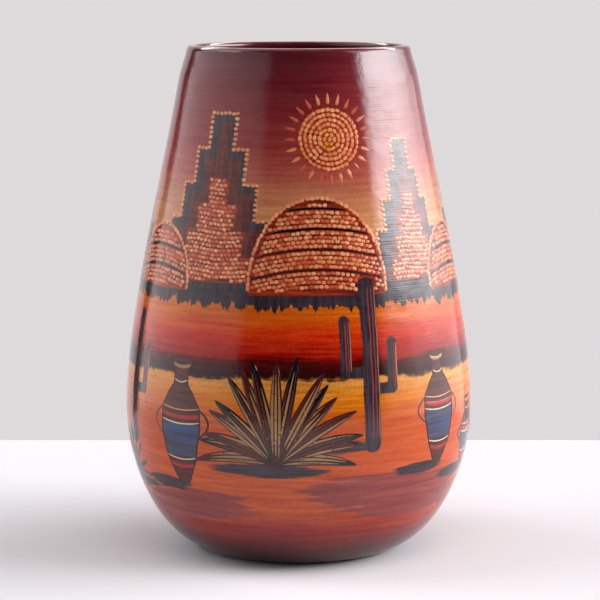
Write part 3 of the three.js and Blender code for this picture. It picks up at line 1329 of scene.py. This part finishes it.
@dataclass(frozen=True)
class PaintedGround:
    """Acrylic earth colours brushed on in level bands that blend into each other, under varnish.

    The eye sees level streaks: where the bristles left more paint it is lighter, and chalkier by the
    share in chalk, which adds less blue than red and green. Here and there a small pit breaks it, darkened as
    painted shade.
    Below the rim is a darker stretch a little left of the front, beside which the bands lie
    higher, and so redder. Along the crest of the lip a paler red is painted on as a painted highlight.

    The bands are heights in millimetres, each with its paint, and blend from one to the next. Each
    noise that moves them has its width and its reach, which is the most that it moves them by.
    """

    varnish: Varnish
    height: float
    streak_width: float = 1.923 * MM
    streak_reach: float = 7 * MM
    drift_width: float = 45.45 * MM
    drift_reach: float = 9 * MM
    nick_width: float = 3.333 * MM
    nick_reach: float = 4 * MM
    draw_out: float = 0.05
    grain: float = 0.45 * MM
    grain_share: float = 0.8
    chalk: float = 1.1
    chalk_tint: tuple = (1, 1, 0.45)
    thinnest: float = 0.72
    thickest: float = 1.28
    pit_spacing: float = 17 * MM
    pit_floor: float = 0.016
    pit_edge: float = 0.026
    pit_shade: float = 0.15
    dark_stretch_centre: float = -8 * MM
    dark_stretch_half_width: float = 8 * MM
    clear_beside: float = 30 * MM
    dark_stretch_from: float = 205 * MM
    dark_stretch_full: float = 232 * MM
    rise_beside: float = 10 * MM
    # the lip's crest: a paler red between these heights, painted as a painted highlight
    lip_highlight_from: float = 249.4 * MM
    lip_highlight_full: float = 249.9 * MM
    lip_highlight_paint: str = "#a04c4a"
    bands: tuple = (
        (0, GroundPaint.SOOT),
        (12, GroundPaint.MAROON),
        (23, GroundPaint.BRICK),
        (34, GroundPaint.TERRACOTTA),
        (54, GroundPaint.TERRACOTTA),
        (64, GroundPaint.RUST),
        (74, GroundPaint.RUST),
        (83, GroundPaint.ORANGE),
        (88, GroundPaint.AMBER),
        (95, GroundPaint.GOLD),
        # the horizon has a crisp lower edge
        (96.2, GroundPaint.GOLD),
        (96.8, GroundPaint.SOOT),
        (100, GroundPaint.SOOT),
        (105, GroundPaint.MAROON),
        (107, GroundPaint.CRIMSON),
        (117, GroundPaint.VERMILION),
        (130, GroundPaint.ORANGE),
        (139, GroundPaint.OCHRE),
        (162, GroundPaint.PEACH),
        (180, GroundPaint.CLAY),
        (191, GroundPaint.ROSE),
        (203, GroundPaint.CLARET),
        (231, GroundPaint.WINE),
        (247, GroundPaint.BURGUNDY),
    )

    def make(self) -> bpy.types.Material:
        """Builds the material: the bands by height, each large shape over them, wear and varnish.

        Returns:
            The material.
        """
        material, tree, shader = new_material("varnished_acrylic_on_earthenware")
        position = add(tree, "ShaderNodeTexCoord").outputs["Object"]
        drawn = (self.draw_out, self.draw_out, 1.0)
        level = add(tree, "ShaderNodeVectorMath", {0: position, 1: drawn}, operation="MULTIPLY").outputs[0]
        bristles = {"Vector": level, "Scale": 1 / self.streak_width, "Detail": 5.0, "Roughness": 0.65}
        strokes = add(tree, "ShaderNodeTexNoise", bristles).outputs[0]
        axes = add(tree, "ShaderNodeSeparateXYZ", {0: position}).outputs
        colour = self.banded(tree, position, axes, strokes)
        colour = self.with_shapes(tree, position, colour)
        colour = self.streaked(tree, position, strokes, colour)
        colour = self.pitted(tree, position, colour)
        # painted highlight: a paler red along the lip's crest
        rise = {"Value": axes["Z"], "From Min": self.lip_highlight_from, "From Max": self.lip_highlight_full}
        crest = {0: add(tree, "ShaderNodeMapRange", rise).outputs[0], 6: colour, 7: linear(self.lip_highlight_paint)}
        colour = add(tree, "ShaderNodeMix", crest, data_type="RGBA").outputs[2]
        tree.links.new(self.varnish.deepened(tree, colour), shader.inputs["Base Color"])
        shader.inputs["Roughness"].default_value = 0.5
        self.varnish.cover(tree, shader, position)
        return material

    def banded(
        self,
        tree: bpy.types.NodeTree,
        position: bpy.types.NodeSocket,
        axes: bpy.types.NodeOutputs,
        strokes: bpy.types.NodeSocket,
    ) -> bpy.types.NodeSocket:
        """The level bands: each point's height, moved by noise, looks its colour up in the bands.

        Three noises move the height: a slow drift, the bristles' streaks and short nicks.

        Args:
            tree: the material's nodes.
            position: where on the piece a point lies.
            axes: the same, as X, Y and Z.
            strokes: the bristles' noise.

        Returns:
            The colour of the bands.
        """
        moved = axes["Z"]
        slow = {"Vector": position, "Scale": 1 / self.drift_width, "Detail": 2.0}
        short = {"Vector": position, "Scale": 1 / self.nick_width, "Detail": 3.0}
        for noise, reach in (
            (add(tree, "ShaderNodeTexNoise", slow).outputs[0], self.drift_reach),
            (strokes, self.streak_reach),
            (add(tree, "ShaderNodeTexNoise", short).outputs[0], self.nick_reach),
        ):
            both = {0: noise, 1: reach, 2: moved}
            moved = add(tree, "ShaderNodeMath", both, operation="MULTIPLY_ADD").outputs[0]
        # beside the darker stretch below the rim, the bands are looked up lower down, so they show redder
        redder = self.beside_dark_stretch(tree, axes)
        moved = add(tree, "ShaderNodeMath", {0: moved, 1: redder}, operation="SUBTRACT").outputs[0]
        # noise is 0.5 in the middle, so the three move the height by half their reach
        shift = (self.drift_reach + self.streak_reach + self.nick_reach) / 2
        span = {"Value": moved, "From Min": shift, "From Max": self.height + shift}
        ramp = add(tree, "ShaderNodeValToRGB", {"Fac": add(tree, "ShaderNodeMapRange", span).outputs[0]})
        stops = ramp.color_ramp.elements
        stops.remove(stops[1])
        for i, (mm, paint) in enumerate(self.bands):
            stop = stops.new(mm * MM / self.height) if i else stops[0]
            stop.color = linear(paint)
        return ramp.outputs[0]

    def beside_dark_stretch(
        self, tree: bpy.types.NodeTree, axes: bpy.types.NodeOutputs
    ) -> bpy.types.NodeSocket:
        """How far the bands below the rim rise: not in the darker stretch, and more and more beside it.

        The rise grows evenly with the distance from the darker stretch's middle, and fades out downwards.

        Args:
            tree: the material's nodes.
            axes: where on the piece a point lies, as X, Y and Z.

        Returns:
            The rise in metres.
        """
        across = {0: axes["X"], 1: self.dark_stretch_centre}
        aside = add(tree, "ShaderNodeMath", across, operation="SUBTRACT").outputs[0]
        aside = add(tree, "ShaderNodeMath", {0: aside}, operation="ABSOLUTE").outputs[0]
        edge = {"Value": aside, "From Min": self.dark_stretch_half_width, "From Max": self.clear_beside}
        rise = add(tree, "ShaderNodeMapRange", edge | {"To Max": self.rise_beside}).outputs[0]
        below_rim = {"Value": axes["Z"], "From Min": self.dark_stretch_from, "From Max": self.dark_stretch_full}
        upper = add(tree, "ShaderNodeMapRange", below_rim).outputs[0]
        return add(tree, "ShaderNodeMath", {0: rise, 1: upper}, operation="MULTIPLY").outputs[0]

    def with_shapes(
        self, tree: bpy.types.NodeTree, position: bpy.types.NodeSocket, colour: bpy.types.NodeSocket
    ) -> bpy.types.NodeSocket:
        """Lays the large shapes one over the other. Layers with the same brush share its noise.

        Args:
            tree: the material's nodes.
            position: where on the piece a point lies.
            colour: the ground's colour.

        Returns:
            The colour with all shapes on it.
        """
        tufts = {}
        for layer in LAYERS:
            kind = (layer.streak, layer.brush)
            if kind not in tufts:
                run = {0: position, 1: layer.streak.value}
                drawn = add(tree, "ShaderNodeVectorMath", run, operation="MULTIPLY").outputs[0]
                ends = {"Vector": drawn, "Scale": 1 / (layer.brush * MM), "Detail": 4.0, "Roughness": 0.6}
                tufts[kind] = add(tree, "ShaderNodeTexNoise", ends).outputs[0]
            colour = self.lay(tree, tufts[kind], colour, layer)
        return colour

    def lay(
        self, tree: bpy.types.NodeTree, noise: bpy.types.NodeSocket, under: bpy.types.NodeSocket, layer: Layer
    ) -> bpy.types.NodeSocket:
        """Lays one large shape over what is there: its field, frayed by brush noise, picks where.

        Args:
            tree: the material's nodes.
            noise: the brush's noise.
            under: the colour of what is there.
            layer: the shape.

        Returns:
            The colour with the shape on it.
        """
        edge = add(tree, "ShaderNodeAttribute", attribute_name=layer.name).outputs["Fac"]
        stray = {0: noise, 1: 2 * layer.fray, 2: edge}
        frayed = add(tree, "ShaderNodeMath", stray, operation="MULTIPLY_ADD").outputs[0]
        inside = {"Value": frayed, "From Min": layer.fray + layer.soft, "From Max": layer.fray - layer.soft}
        mask = add(tree, "ShaderNodeMapRange", inside).outputs[0]
        spread = {"Value": noise, "From Min": 0.36, "From Max": 0.66}
        tone = add(tree, "ShaderNodeMapRange", spread).outputs[0]
        tones = {0: tone, 6: linear(layer.dark), 7: linear(layer.light)}
        paint = add(tree, "ShaderNodeMix", tones, data_type="RGBA").outputs[2]
        return add(tree, "ShaderNodeMix", {0: mask, 6: under, 7: paint}, data_type="RGBA").outputs[2]

    def streaked(
        self,
        tree: bpy.types.NodeTree,
        position: bpy.types.NodeSocket,
        strokes: bpy.types.NodeSocket,
        colour: bpy.types.NodeSocket,
    ) -> bpy.types.NodeSocket:
        """Varies how thick the paint lies: the colour times the thickness, plus chalk where it is thick.

        The chalk is the colour's own lightness times how far the thickness is over 1, and is taken
        away where it is under 1.

        Args:
            tree: the material's nodes.
            position: where on the piece a point lies.
            strokes: the bristles' noise.
            colour: the paint's colour.

        Returns:
            The streaked colour.
        """
        fine = {"Vector": position, "Scale": 1 / self.grain, "Detail": 2.0}
        grain = add(tree, "ShaderNodeTexNoise", fine).outputs[0]
        both = {0: grain, 1: self.grain_share, 2: strokes}
        laid = add(tree, "ShaderNodeMath", both, operation="MULTIPLY_ADD").outputs[0]
        span = {"Value": laid, "From Min": 0.5, "From Max": 1.3}
        ends = {"To Min": self.thinnest, "To Max": self.thickest}
        thick = add(tree, "ShaderNodeMapRange", span | ends).outputs[0]
        pale = add(tree, "ShaderNodeRGBToBW", {0: colour}).outputs[0]
        over = {0: thick, 1: self.chalk, 2: -self.chalk}
        chalk = add(tree, "ShaderNodeMath", over, operation="MULTIPLY_ADD").outputs[0]
        chalk = add(tree, "ShaderNodeMath", {0: chalk, 1: pale}, operation="MULTIPLY").outputs[0]
        colour = add(tree, "ShaderNodeVectorMath", {0: colour, "Scale": thick}, operation="SCALE").outputs[0]
        chalky = {0: chalk, 1: self.chalk_tint, 2: colour}
        colour = add(tree, "ShaderNodeVectorMath", chalky, operation="MULTIPLY_ADD").outputs[0]
        return add(tree, "ShaderNodeVectorMath", {0: colour, 1: (0, 0, 0)}, operation="MAXIMUM").outputs[0]

    def pitted(
        self, tree: bpy.types.NodeTree, position: bpy.types.NodeSocket, colour: bpy.types.NodeSocket
    ) -> bpy.types.NodeSocket:
        """Darkens a small round pit, as painted shade, at the middle of each cell that comes near the
        surface.

        Args:
            tree: the material's nodes.
            position: where on the piece a point lies.
            colour: the paint's colour.

        Returns:
            The colour with pits in it.
        """
        # each pit's darkness is painted shade
        cells = add(tree, "ShaderNodeTexVoronoi", {"Vector": position, "Scale": 1 / self.pit_spacing})
        pit = {"Value": cells.outputs["Distance"], "From Min": self.pit_floor, "From Max": self.pit_edge}
        shade = add(tree, "ShaderNodeMapRange", pit | {"To Min": self.pit_shade}).outputs[0]
        return add(tree, "ShaderNodeVectorMath", {0: colour, "Scale": shade}, operation="SCALE").outputs[0]


@dataclass(frozen=True)
class BrushPaint:
    """The same acrylic laid on thicker with a fine brush.

    The eye sees each stroke in its own tint, a little streaky, with a darker rim where it is thin.
    """

    varnish: Varnish
    streak_width: float = 0.7143 * MM

    def make(self) -> bpy.types.Material:
        """Builds the material from the strokes' own colours, with slight streaks in each.

        Returns:
            The material.
        """
        material, tree, shader = new_material("varnished_acrylic_brush_strokes")
        position = add(tree, "ShaderNodeTexCoord").outputs["Object"]
        tint = add(tree, "ShaderNodeAttribute", attribute_name="pigment").outputs["Color"]
        fine = {"Vector": position, "Scale": 1 / self.streak_width, "Detail": 3.0}
        noise = add(tree, "ShaderNodeTexNoise", fine).outputs[0]
        span = {"Value": noise, "From Min": 0.3, "From Max": 0.7, "To Min": 0.8, "To Max": 1.12}
        worn = add(tree, "ShaderNodeMapRange", span).outputs[0]
        colour = add(tree, "ShaderNodeVectorMath", {0: tint, "Scale": worn}, operation="SCALE").outputs[0]
        tree.links.new(self.varnish.deepened(tree, colour), shader.inputs["Base Color"])
        shader.inputs["Roughness"].default_value = 0.5
        self.varnish.cover(tree, shader, position)
        return material


@dataclass(frozen=True)
class BareTerracotta:
    """Low-fired red clay, turned and wiped: matt, a little mottled, with fine grog.

    The dark paint round the foot has been smeared down to the foot's edge and stains the clay there,
    between the two heights. The flat that the vase stands on is clean.
    """

    pale: str = "#c07a55"
    deep: str = "#9a5636"
    stain: str = "#260a0d"
    stain_from: float = 0.2 * MM
    stain_to: float = 1.85 * MM
    mottle_width: float = 16.667 * MM
    grog: float = 0.5 * MM
    grog_share: float = 0.45
    grog_depth: float = 0.12 * MM

    def make(self) -> bpy.types.Material:
        """Builds the material: a soft mottle, dark and light grog, the stain and a grainy bump.

        Returns:
            The material.
        """
        material, tree, shader = new_material("bare_terracotta")
        position = add(tree, "ShaderNodeTexCoord").outputs["Object"]
        soft = {"Vector": position, "Scale": 1 / self.mottle_width, "Detail": 4.0}
        mottle = add(tree, "ShaderNodeTexNoise", soft).outputs[0]
        fine = {"Vector": position, "Scale": 1 / self.grog, "Detail": 3.0}
        grain = add(tree, "ShaderNodeTexNoise", fine).outputs[0]
        both = {0: grain, 1: self.grog_share, 2: mottle}
        mixed = add(tree, "ShaderNodeMath", both, operation="MULTIPLY_ADD").outputs[0]
        tone = add(tree, "ShaderNodeMapRange", {"Value": mixed, "From Min": 0.5, "From Max": 0.95}).outputs[0]
        tones = {0: tone, 6: linear(self.deep), 7: linear(self.pale)}
        colour = add(tree, "ShaderNodeMix", tones, data_type="RGBA").outputs[2]
        height = add(tree, "ShaderNodeSeparateXYZ", {0: position}).outputs["Z"]
        smear = 1.0
        for edge, width in ((self.stain_from, 0.2 * MM), (self.stain_to, -0.3 * MM)):
            side = {"Value": height, "From Min": edge - width / 2, "From Max": edge + width / 2}
            gate = add(tree, "ShaderNodeMapRange", side).outputs[0]
            smear = add(tree, "ShaderNodeMath", {0: smear, 1: gate}, operation="MULTIPLY").outputs[0]
        stained = {0: smear, 6: colour, 7: linear(self.stain)}
        colour = add(tree, "ShaderNodeMix", stained, data_type="RGBA").outputs[2]
        bump = add(tree, "ShaderNodeBump", {"Height": grain, "Distance": self.grog_depth, "Strength": 0.6})
        tree.links.new(colour, shader.inputs["Base Color"])
        tree.links.new(bump.outputs[0], shader.inputs["Normal"])
        shader.inputs["Roughness"].default_value = 0.88
        return material


@dataclass(frozen=True)
class SealingWash:
    """Dark red-brown wash brushed over the inside: satin, with level streaks."""

    varnish: Varnish
    dark: str = "#3a1216"
    light: str = "#5c1f20"
    streak_width: float = 2.857 * MM
    draw_out: float = 0.08
    sheen: float = 0.6

    def make(self) -> bpy.types.Material:
        """Builds the material: level brush streaks between two tones under a thin satin coat.

        Returns:
            The material.
        """
        material, tree, shader = new_material("sealing_wash")
        position = add(tree, "ShaderNodeTexCoord").outputs["Object"]
        drawn = (self.draw_out, self.draw_out, 1.0)
        level = add(tree, "ShaderNodeVectorMath", {0: position, 1: drawn}, operation="MULTIPLY").outputs[0]
        bristles = {"Vector": level, "Scale": 1 / self.streak_width, "Detail": 4.0}
        streaks = add(tree, "ShaderNodeTexNoise", bristles).outputs[0]
        spread = {"Value": streaks, "From Min": 0.3, "From Max": 0.7}
        tone = add(tree, "ShaderNodeMapRange", spread).outputs[0]
        tones = {0: tone, 6: linear(self.dark), 7: linear(self.light)}
        colour = add(tree, "ShaderNodeMix", tones, data_type="RGBA").outputs[2]
        tree.links.new(colour, shader.inputs["Base Color"])
        shader.inputs["Roughness"].default_value = 0.5
        self.varnish.cover(tree, shader, position)
        shader.inputs["Coat Weight"].default_value = self.sheen
        return material


# The vase's pieces


@dataclass
class Vase:
    """The dressed vase: its two coats, and what gives each piece its place and finish.

    The painted coat starts a little above the table, over a bare edge, and ends inside the mouth
    where the sealing coat starts. The front_step is the size of the faces that show, and the
    back_step that of the faces inside the wall.
    """

    form: Form
    hand: HandThrown
    coat_thickness: float = 0.6 * MM
    coat_gap: float = 0.3 * MM
    bare_edge: float = 1.1 * MM
    paint_inside: float = 9 * MM
    columns: int = 480
    front_step: float = 1.55 * MM
    back_step: float = 22 * MM

    def __post_init__(self) -> None:
        """Cuts the skin into the stretch that the painter covered and the stretch that was sealed."""
        skin = self.form.skin()
        top = np.argmax(skin[:, 1])
        up = np.arange(len(skin)) < top
        painted = (up & (skin[:, 1] >= self.bare_edge + self.coat_gap)) | (
            ~up & (skin[:, 1] > self.form.height - self.paint_inside)
        )
        sealed = ~up & (skin[:, 1] < self.form.height - self.paint_inside - self.coat_gap)
        self.painted_line = resample(skin[painted], self.front_step)
        self.sealed_line = resample(skin[sealed], 2 * self.front_step)
        self.sealed_line[-1, 0] = 0.0
        self.surface = Surface(self.form, self.hand)

    def coat(self, name: str, line: np.ndarray, columns: int) -> bpy.types.Object:
        """A coat: the skin's line in front, the same line set into the wall behind, spun round.

        Args:
            name: the piece's name.
            line: the stretch of skin that the coat covers.
            columns: how many points go round.

        Returns:
            The piece.
        """
        back = resample(inset(line, self.coat_thickness), self.back_step)[::-1]
        if line[-1, 0] < 1e-9:
            back[0, 0] = 0.0
        return spin(name, np.concatenate([line, back]), columns, self.hand)

    def painted_coat(self, finish: PaintedGround) -> bpy.types.Object:
        """The painted coat, with the field of each large shape stored on its points.

        Args:
            finish: its material.

        Returns:
            The piece.
        """
        piece = self.coat("painted_coat_fine", self.painted_line, self.columns)
        flat = np.empty(len(piece.data.vertices) * 3, np.float32)
        piece.data.vertices.foreach_get("co", flat)
        x, y, z = flat.reshape(-1, 3).T
        bearing = np.arctan2(x, -y)
        fields = painted_fields(self.surface, bearing, z)
        for name, values in (fields | {"varnish_run": VarnishRuns().strength(bearing, z)}).items():
            stored = piece.data.attributes.new(name, "FLOAT", "POINT")
            stored.data.foreach_set("value", values.astype(np.float32))
        piece.data.materials.append(finish.make())
        return self.settle(piece, "painted_coat")

    def inner_coat(self, finish: SealingWash) -> bpy.types.Object:
        """The sealing coat that lines the inside.

        Args:
            finish: its material.

        Returns:
            The piece.
        """
        piece = self.coat("inner_coat_fine", self.sealed_line, self.columns // 2)
        piece.data.materials.append(finish.make())
        return self.settle(piece, "inner_coat")

    def settle(self, piece: bpy.types.Object, node: "str | None") -> bpy.types.Object:
        """Makes a piece ride on the vase, and hides the node that it stands for.

        Args:
            piece: what was made.
            node: the node that it replaces, or None.

        Returns:
            The piece.
        """
        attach(piece, "root")
        if node:
            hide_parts(node)
        log.info("%s: %d faces", piece.name, len(piece.data.polygons))
        return piece


# The studio


@dataclass(frozen=True)
class Glow:
    """A stretch of the room that is brighter than the rest, as the vase sees it.

    Bearings are in degrees, heights are the sine of the elevation, and the brightness runs evenly
    from one end to the other. The lower edge fades in over the fade, and lies lower at the end than
    at the start by the drop. One that leans has its upright edges slanted by the studio's edge_lean.
    The upright edges fade over the degrees in soft.
    """

    start: float
    end: float
    at_start: float
    at_end: float
    low: float
    high: float
    fade: float = 0.03
    drop: float = 0.0
    leans: bool = False
    soft: float = 1.5


@dataclass(frozen=True)
class Studio:
    """A white table before a pale wall, a large window on the right and a white reflector on the left.

    All but two lights are glows of the room. The edge_lean is how many degrees the upright edges of a
    glow that leans move between the heights lean_from and lean_to. The two lights are set round a
    point of the vase's axis at aim_height.
    """

    focal_px: float = 2429.9
    frame_px: float = 600
    sensor_mm: float = 36
    distance: float = 1.2
    eye: float = 0.29107
    pitch: float = radians(7.959)
    aside: float = 0.0007
    table_back: float = 0.262
    table_reach: float = 0.6
    wall_colour: str = "#dedadb"
    room_colour: str = "#fffcff"
    table_colour: str = "#dddcde"
    table_gloss: float = 0.55
    dim: float = 0.04
    edge_lean: float = 11
    lean_from: float = 0.2
    lean_to: float = 0.32
    top_fade: float = 0.03
    aim_height: float = 0.17
    glows: tuple = (
        # the backdrop, on both sides of the vase
        Glow(-190, -143, 0.8, 0.8, -1, 0.42),
        Glow(143, 190, 0.6, 0.9, -1, 0.42),
        # a wide white reflector on the left, brighter towards the back
        Glow(-131, -40, 1.8, 0.6, -1, 0.66, leans=True, soft=4.5),
        # a large window on the right, whose light falls off towards the back and the sill
        Glow(62, 71, 0.8, 13.2, 0.2, 0.54, 0.13, 0.02),
        Glow(71, 84, 13.2, 14.6, 0.2, 0.54, 0.14, 0.04),
        Glow(84, 100, 14.6, 12.2, 0.16, 0.54, 0.15, 0.04),
        Glow(100, 126, 12.2, 4.6, 0.11, 0.54, 0.15, 0.04),
        Glow(126, 143, 4.6, 0.8, 0.1, 0.54, 0.15, 0.0),
        # the room below the window's sill
        Glow(58, 84, 0.7, 1.8, -1, 0.17),
        Glow(84, 143, 2.4, 1.7, -1, 0.1),
        # high windows round the front, brightest towards the right, and a little light behind
        Glow(-190, -120, 0.8, 1.0, 0.42, 0.64),
        Glow(-120, -72, 2.8, 2.2, 0.5, 1.1),
        Glow(-60, 15, 0.6, 0.6, 0.84, 1.1),
        Glow(15, 60, 0.6, 1.6, 0.82, 1.1),
        Glow(60, 143, 2.2, 0.7, 0.54, 0.8),
        Glow(143, 190, 0.8, 0.8, 0.42, 0.64),
    )

    def camera(self) -> None:
        """The camera, where the photograph was taken from."""
        lens = bpy.data.cameras.new("camera")
        lens.sensor_width = self.sensor_mm
        lens.lens = self.focal_px * self.sensor_mm / self.frame_px
        camera = bpy.data.objects.new("camera", lens)
        camera.location = (self.aside, -self.distance, self.eye)
        camera.rotation_euler = (pi / 2 - self.pitch, 0, 0)
        bpy.context.scene.collection.objects.link(camera)
        bpy.context.scene.camera = camera

    def softbox(
        self, name: str, bearing: float, rise: float, away: float, tilt: float, size: tuple, radiance: float
    ) -> bpy.types.Object:
        """An area light round the vase.

        Args:
            name: the light's name.
            bearing: degrees round the vase from the front.
            rise: degrees above level.
            away: metres from the vase.
            tilt: degrees that it looks down, 90 being straight down.
            size: width and height in metres.
            radiance: its brightness, from which its power follows as radiance * pi * area.

        Returns:
            The light's object.
        """
        light = bpy.data.lights.new(name, "AREA")
        light.shape = "RECTANGLE"
        light.size, light.size_y = size
        light.energy = radiance * pi * size[0] * size[1]
        lamp = bpy.data.objects.new(name, light)
        b, r = radians(bearing), radians(rise)
        lamp.location = (away * cos(r) * sin(b), -away * cos(r) * cos(b), self.aim_height + away * sin(r))
        lamp.rotation_euler = (pi / 2 - radians(tilt), 0, b)
        bpy.context.scene.collection.objects.link(lamp)
        return lamp

    def table(self) -> None:
        """The white table top, whose far edge lies behind the vase."""
        thickness = 0.03
        low = np.array([-self.table_reach, -self.table_reach, -thickness])
        high = np.array([self.table_reach, self.table_back, 0])
        corners = np.array([[x, y, z] for z in (0, 1) for y in (0, 1) for x in (0, 1)])
        faces = [[0, 2, 3, 1], [4, 5, 7, 6], [0, 1, 5, 4], [2, 6, 7, 3], [0, 4, 6, 2], [1, 3, 7, 5]]
        top = make_mesh("table", low + corners * (high - low), faces, smooth=False)
        # board painted with matt emulsion: it scatters light evenly and mirrors nothing
        material, _, shader = new_material("white_painted_board")
        shader.inputs["Base Color"].default_value = linear(self.table_colour)
        shader.inputs["Roughness"].default_value = self.table_gloss
        shader.inputs["Specular IOR Level"].default_value = 0.0
        top.data.materials.append(material)

    def room(self) -> None:
        """The room as a world of light: dim round the camera, with brighter stretches on each side.

        The brightness follows the direction's bearing and height. The camera itself sees a plain
        pale wall.
        """
        world = bpy.data.worlds.new("room")
        bpy.context.scene.world = world
        world.use_nodes = True
        tree = world.node_tree
        tree.nodes.clear()
        ray = add(tree, "ShaderNodeTexCoord").outputs["Generated"]
        axes = add(tree, "ShaderNodeSeparateXYZ", {0: ray}).outputs
        towards = add(tree, "ShaderNodeMath", {0: axes["Y"], 1: -1.0}, operation="MULTIPLY").outputs[0]
        bearing = add(tree, "ShaderNodeMath", {0: axes["X"], 1: towards}, operation="ARCTAN2").outputs[0]
        rise = {"Value": axes["Z"], "From Min": self.lean_from, "From Max": self.lean_to}
        lean = add(tree, "ShaderNodeMapRange", rise | {"To Max": -radians(self.edge_lean)}).outputs[0]
        leaned = add(tree, "ShaderNodeMath", {0: bearing, 1: lean}, operation="ADD").outputs[0]
        strength = self.dim
        for glow in self.glows:
            turn = leaned if glow.leans else bearing
            ends = {"Value": turn, "From Min": radians(glow.start), "From Max": radians(glow.end)}
            bright = ends | {"To Min": glow.at_start, "To Max": glow.at_end}
            light = add(tree, "ShaderNodeMapRange", bright).outputs[0]
            sill = add(tree, "ShaderNodeMapRange", ends | {"To Max": glow.drop}).outputs[0]
            above = add(tree, "ShaderNodeMath", {0: axes["Z"], 1: sill}, operation="ADD").outputs[0]
            soft = radians(glow.soft)
            for value, edge, width in (
                (turn, radians(glow.start), soft),
                (turn, radians(glow.end), -soft),
                (above, glow.low, glow.fade),
                (axes["Z"], glow.high, -self.top_fade),
            ):
                side = {"Value": value, "From Min": edge - width / 2, "From Max": edge + width / 2}
                gate = add(tree, "ShaderNodeMapRange", side).outputs[0]
                light = add(tree, "ShaderNodeMath", {0: light, 1: gate}, operation="MULTIPLY").outputs[0]
            strength = add(tree, "ShaderNodeMath", {0: strength, 1: light}, operation="ADD").outputs[0]
        room = add(tree, "ShaderNodeBackground", {"Color": linear(self.room_colour), "Strength": strength})
        wall = add(tree, "ShaderNodeBackground", {"Color": linear(self.wall_colour), "Strength": 1.0})
        seen = add(tree, "ShaderNodeLightPath").outputs["Is Camera Ray"]
        mixed = add(tree, "ShaderNodeMixShader", {0: seen, 1: room.outputs[0], 2: wall.outputs[0]})
        add(tree, "ShaderNodeOutputWorld", {"Surface": mixed.outputs[0]})

    def build(self) -> None:
        """Sets up the camera, the table, the room and the lights, with colours shown as they are."""
        bpy.context.scene.view_settings.view_transform = "Standard"
        self.camera()
        self.table()
        self.room()
        strip = self.softbox("rear_strip", 180, 45, 1.5, 0, (3.4, 0.4), 9.0)
        strip.visible_diffuse = False
        fill = self.softbox("front_fill", 28, 56, 1.1, 56, (1.0, 0.7), 1.7)
        fill.visible_glossy = False


def main() -> None:
    """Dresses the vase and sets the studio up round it."""
    logging.basicConfig(level=logging.INFO, format="%(name)s %(message)s")
    _, coat_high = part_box("painted_coat")
    form = Form(height=coat_high[2], belly_radius=coat_high[0])
    vase = Vase(form, HandThrown())
    varnish = Varnish()
    vase.painted_coat(PaintedGround(varnish, form.height))
    vase.inner_coat(SealingWash(varnish))
    brush = BrushPaint(varnish).make()
    for piece in Painter(vase.surface).paint():
        piece.data.materials.append(brush)
        vase.settle(piece, None)
    clay = BareTerracotta().make()
    for node in ("foot_and_floor", "lower_wall", "upper_wall", "rim"):
        bpy.data.objects[node].material_slots[0].material = clay
    Studio().build()


if __name__ == "__main__":
    main()
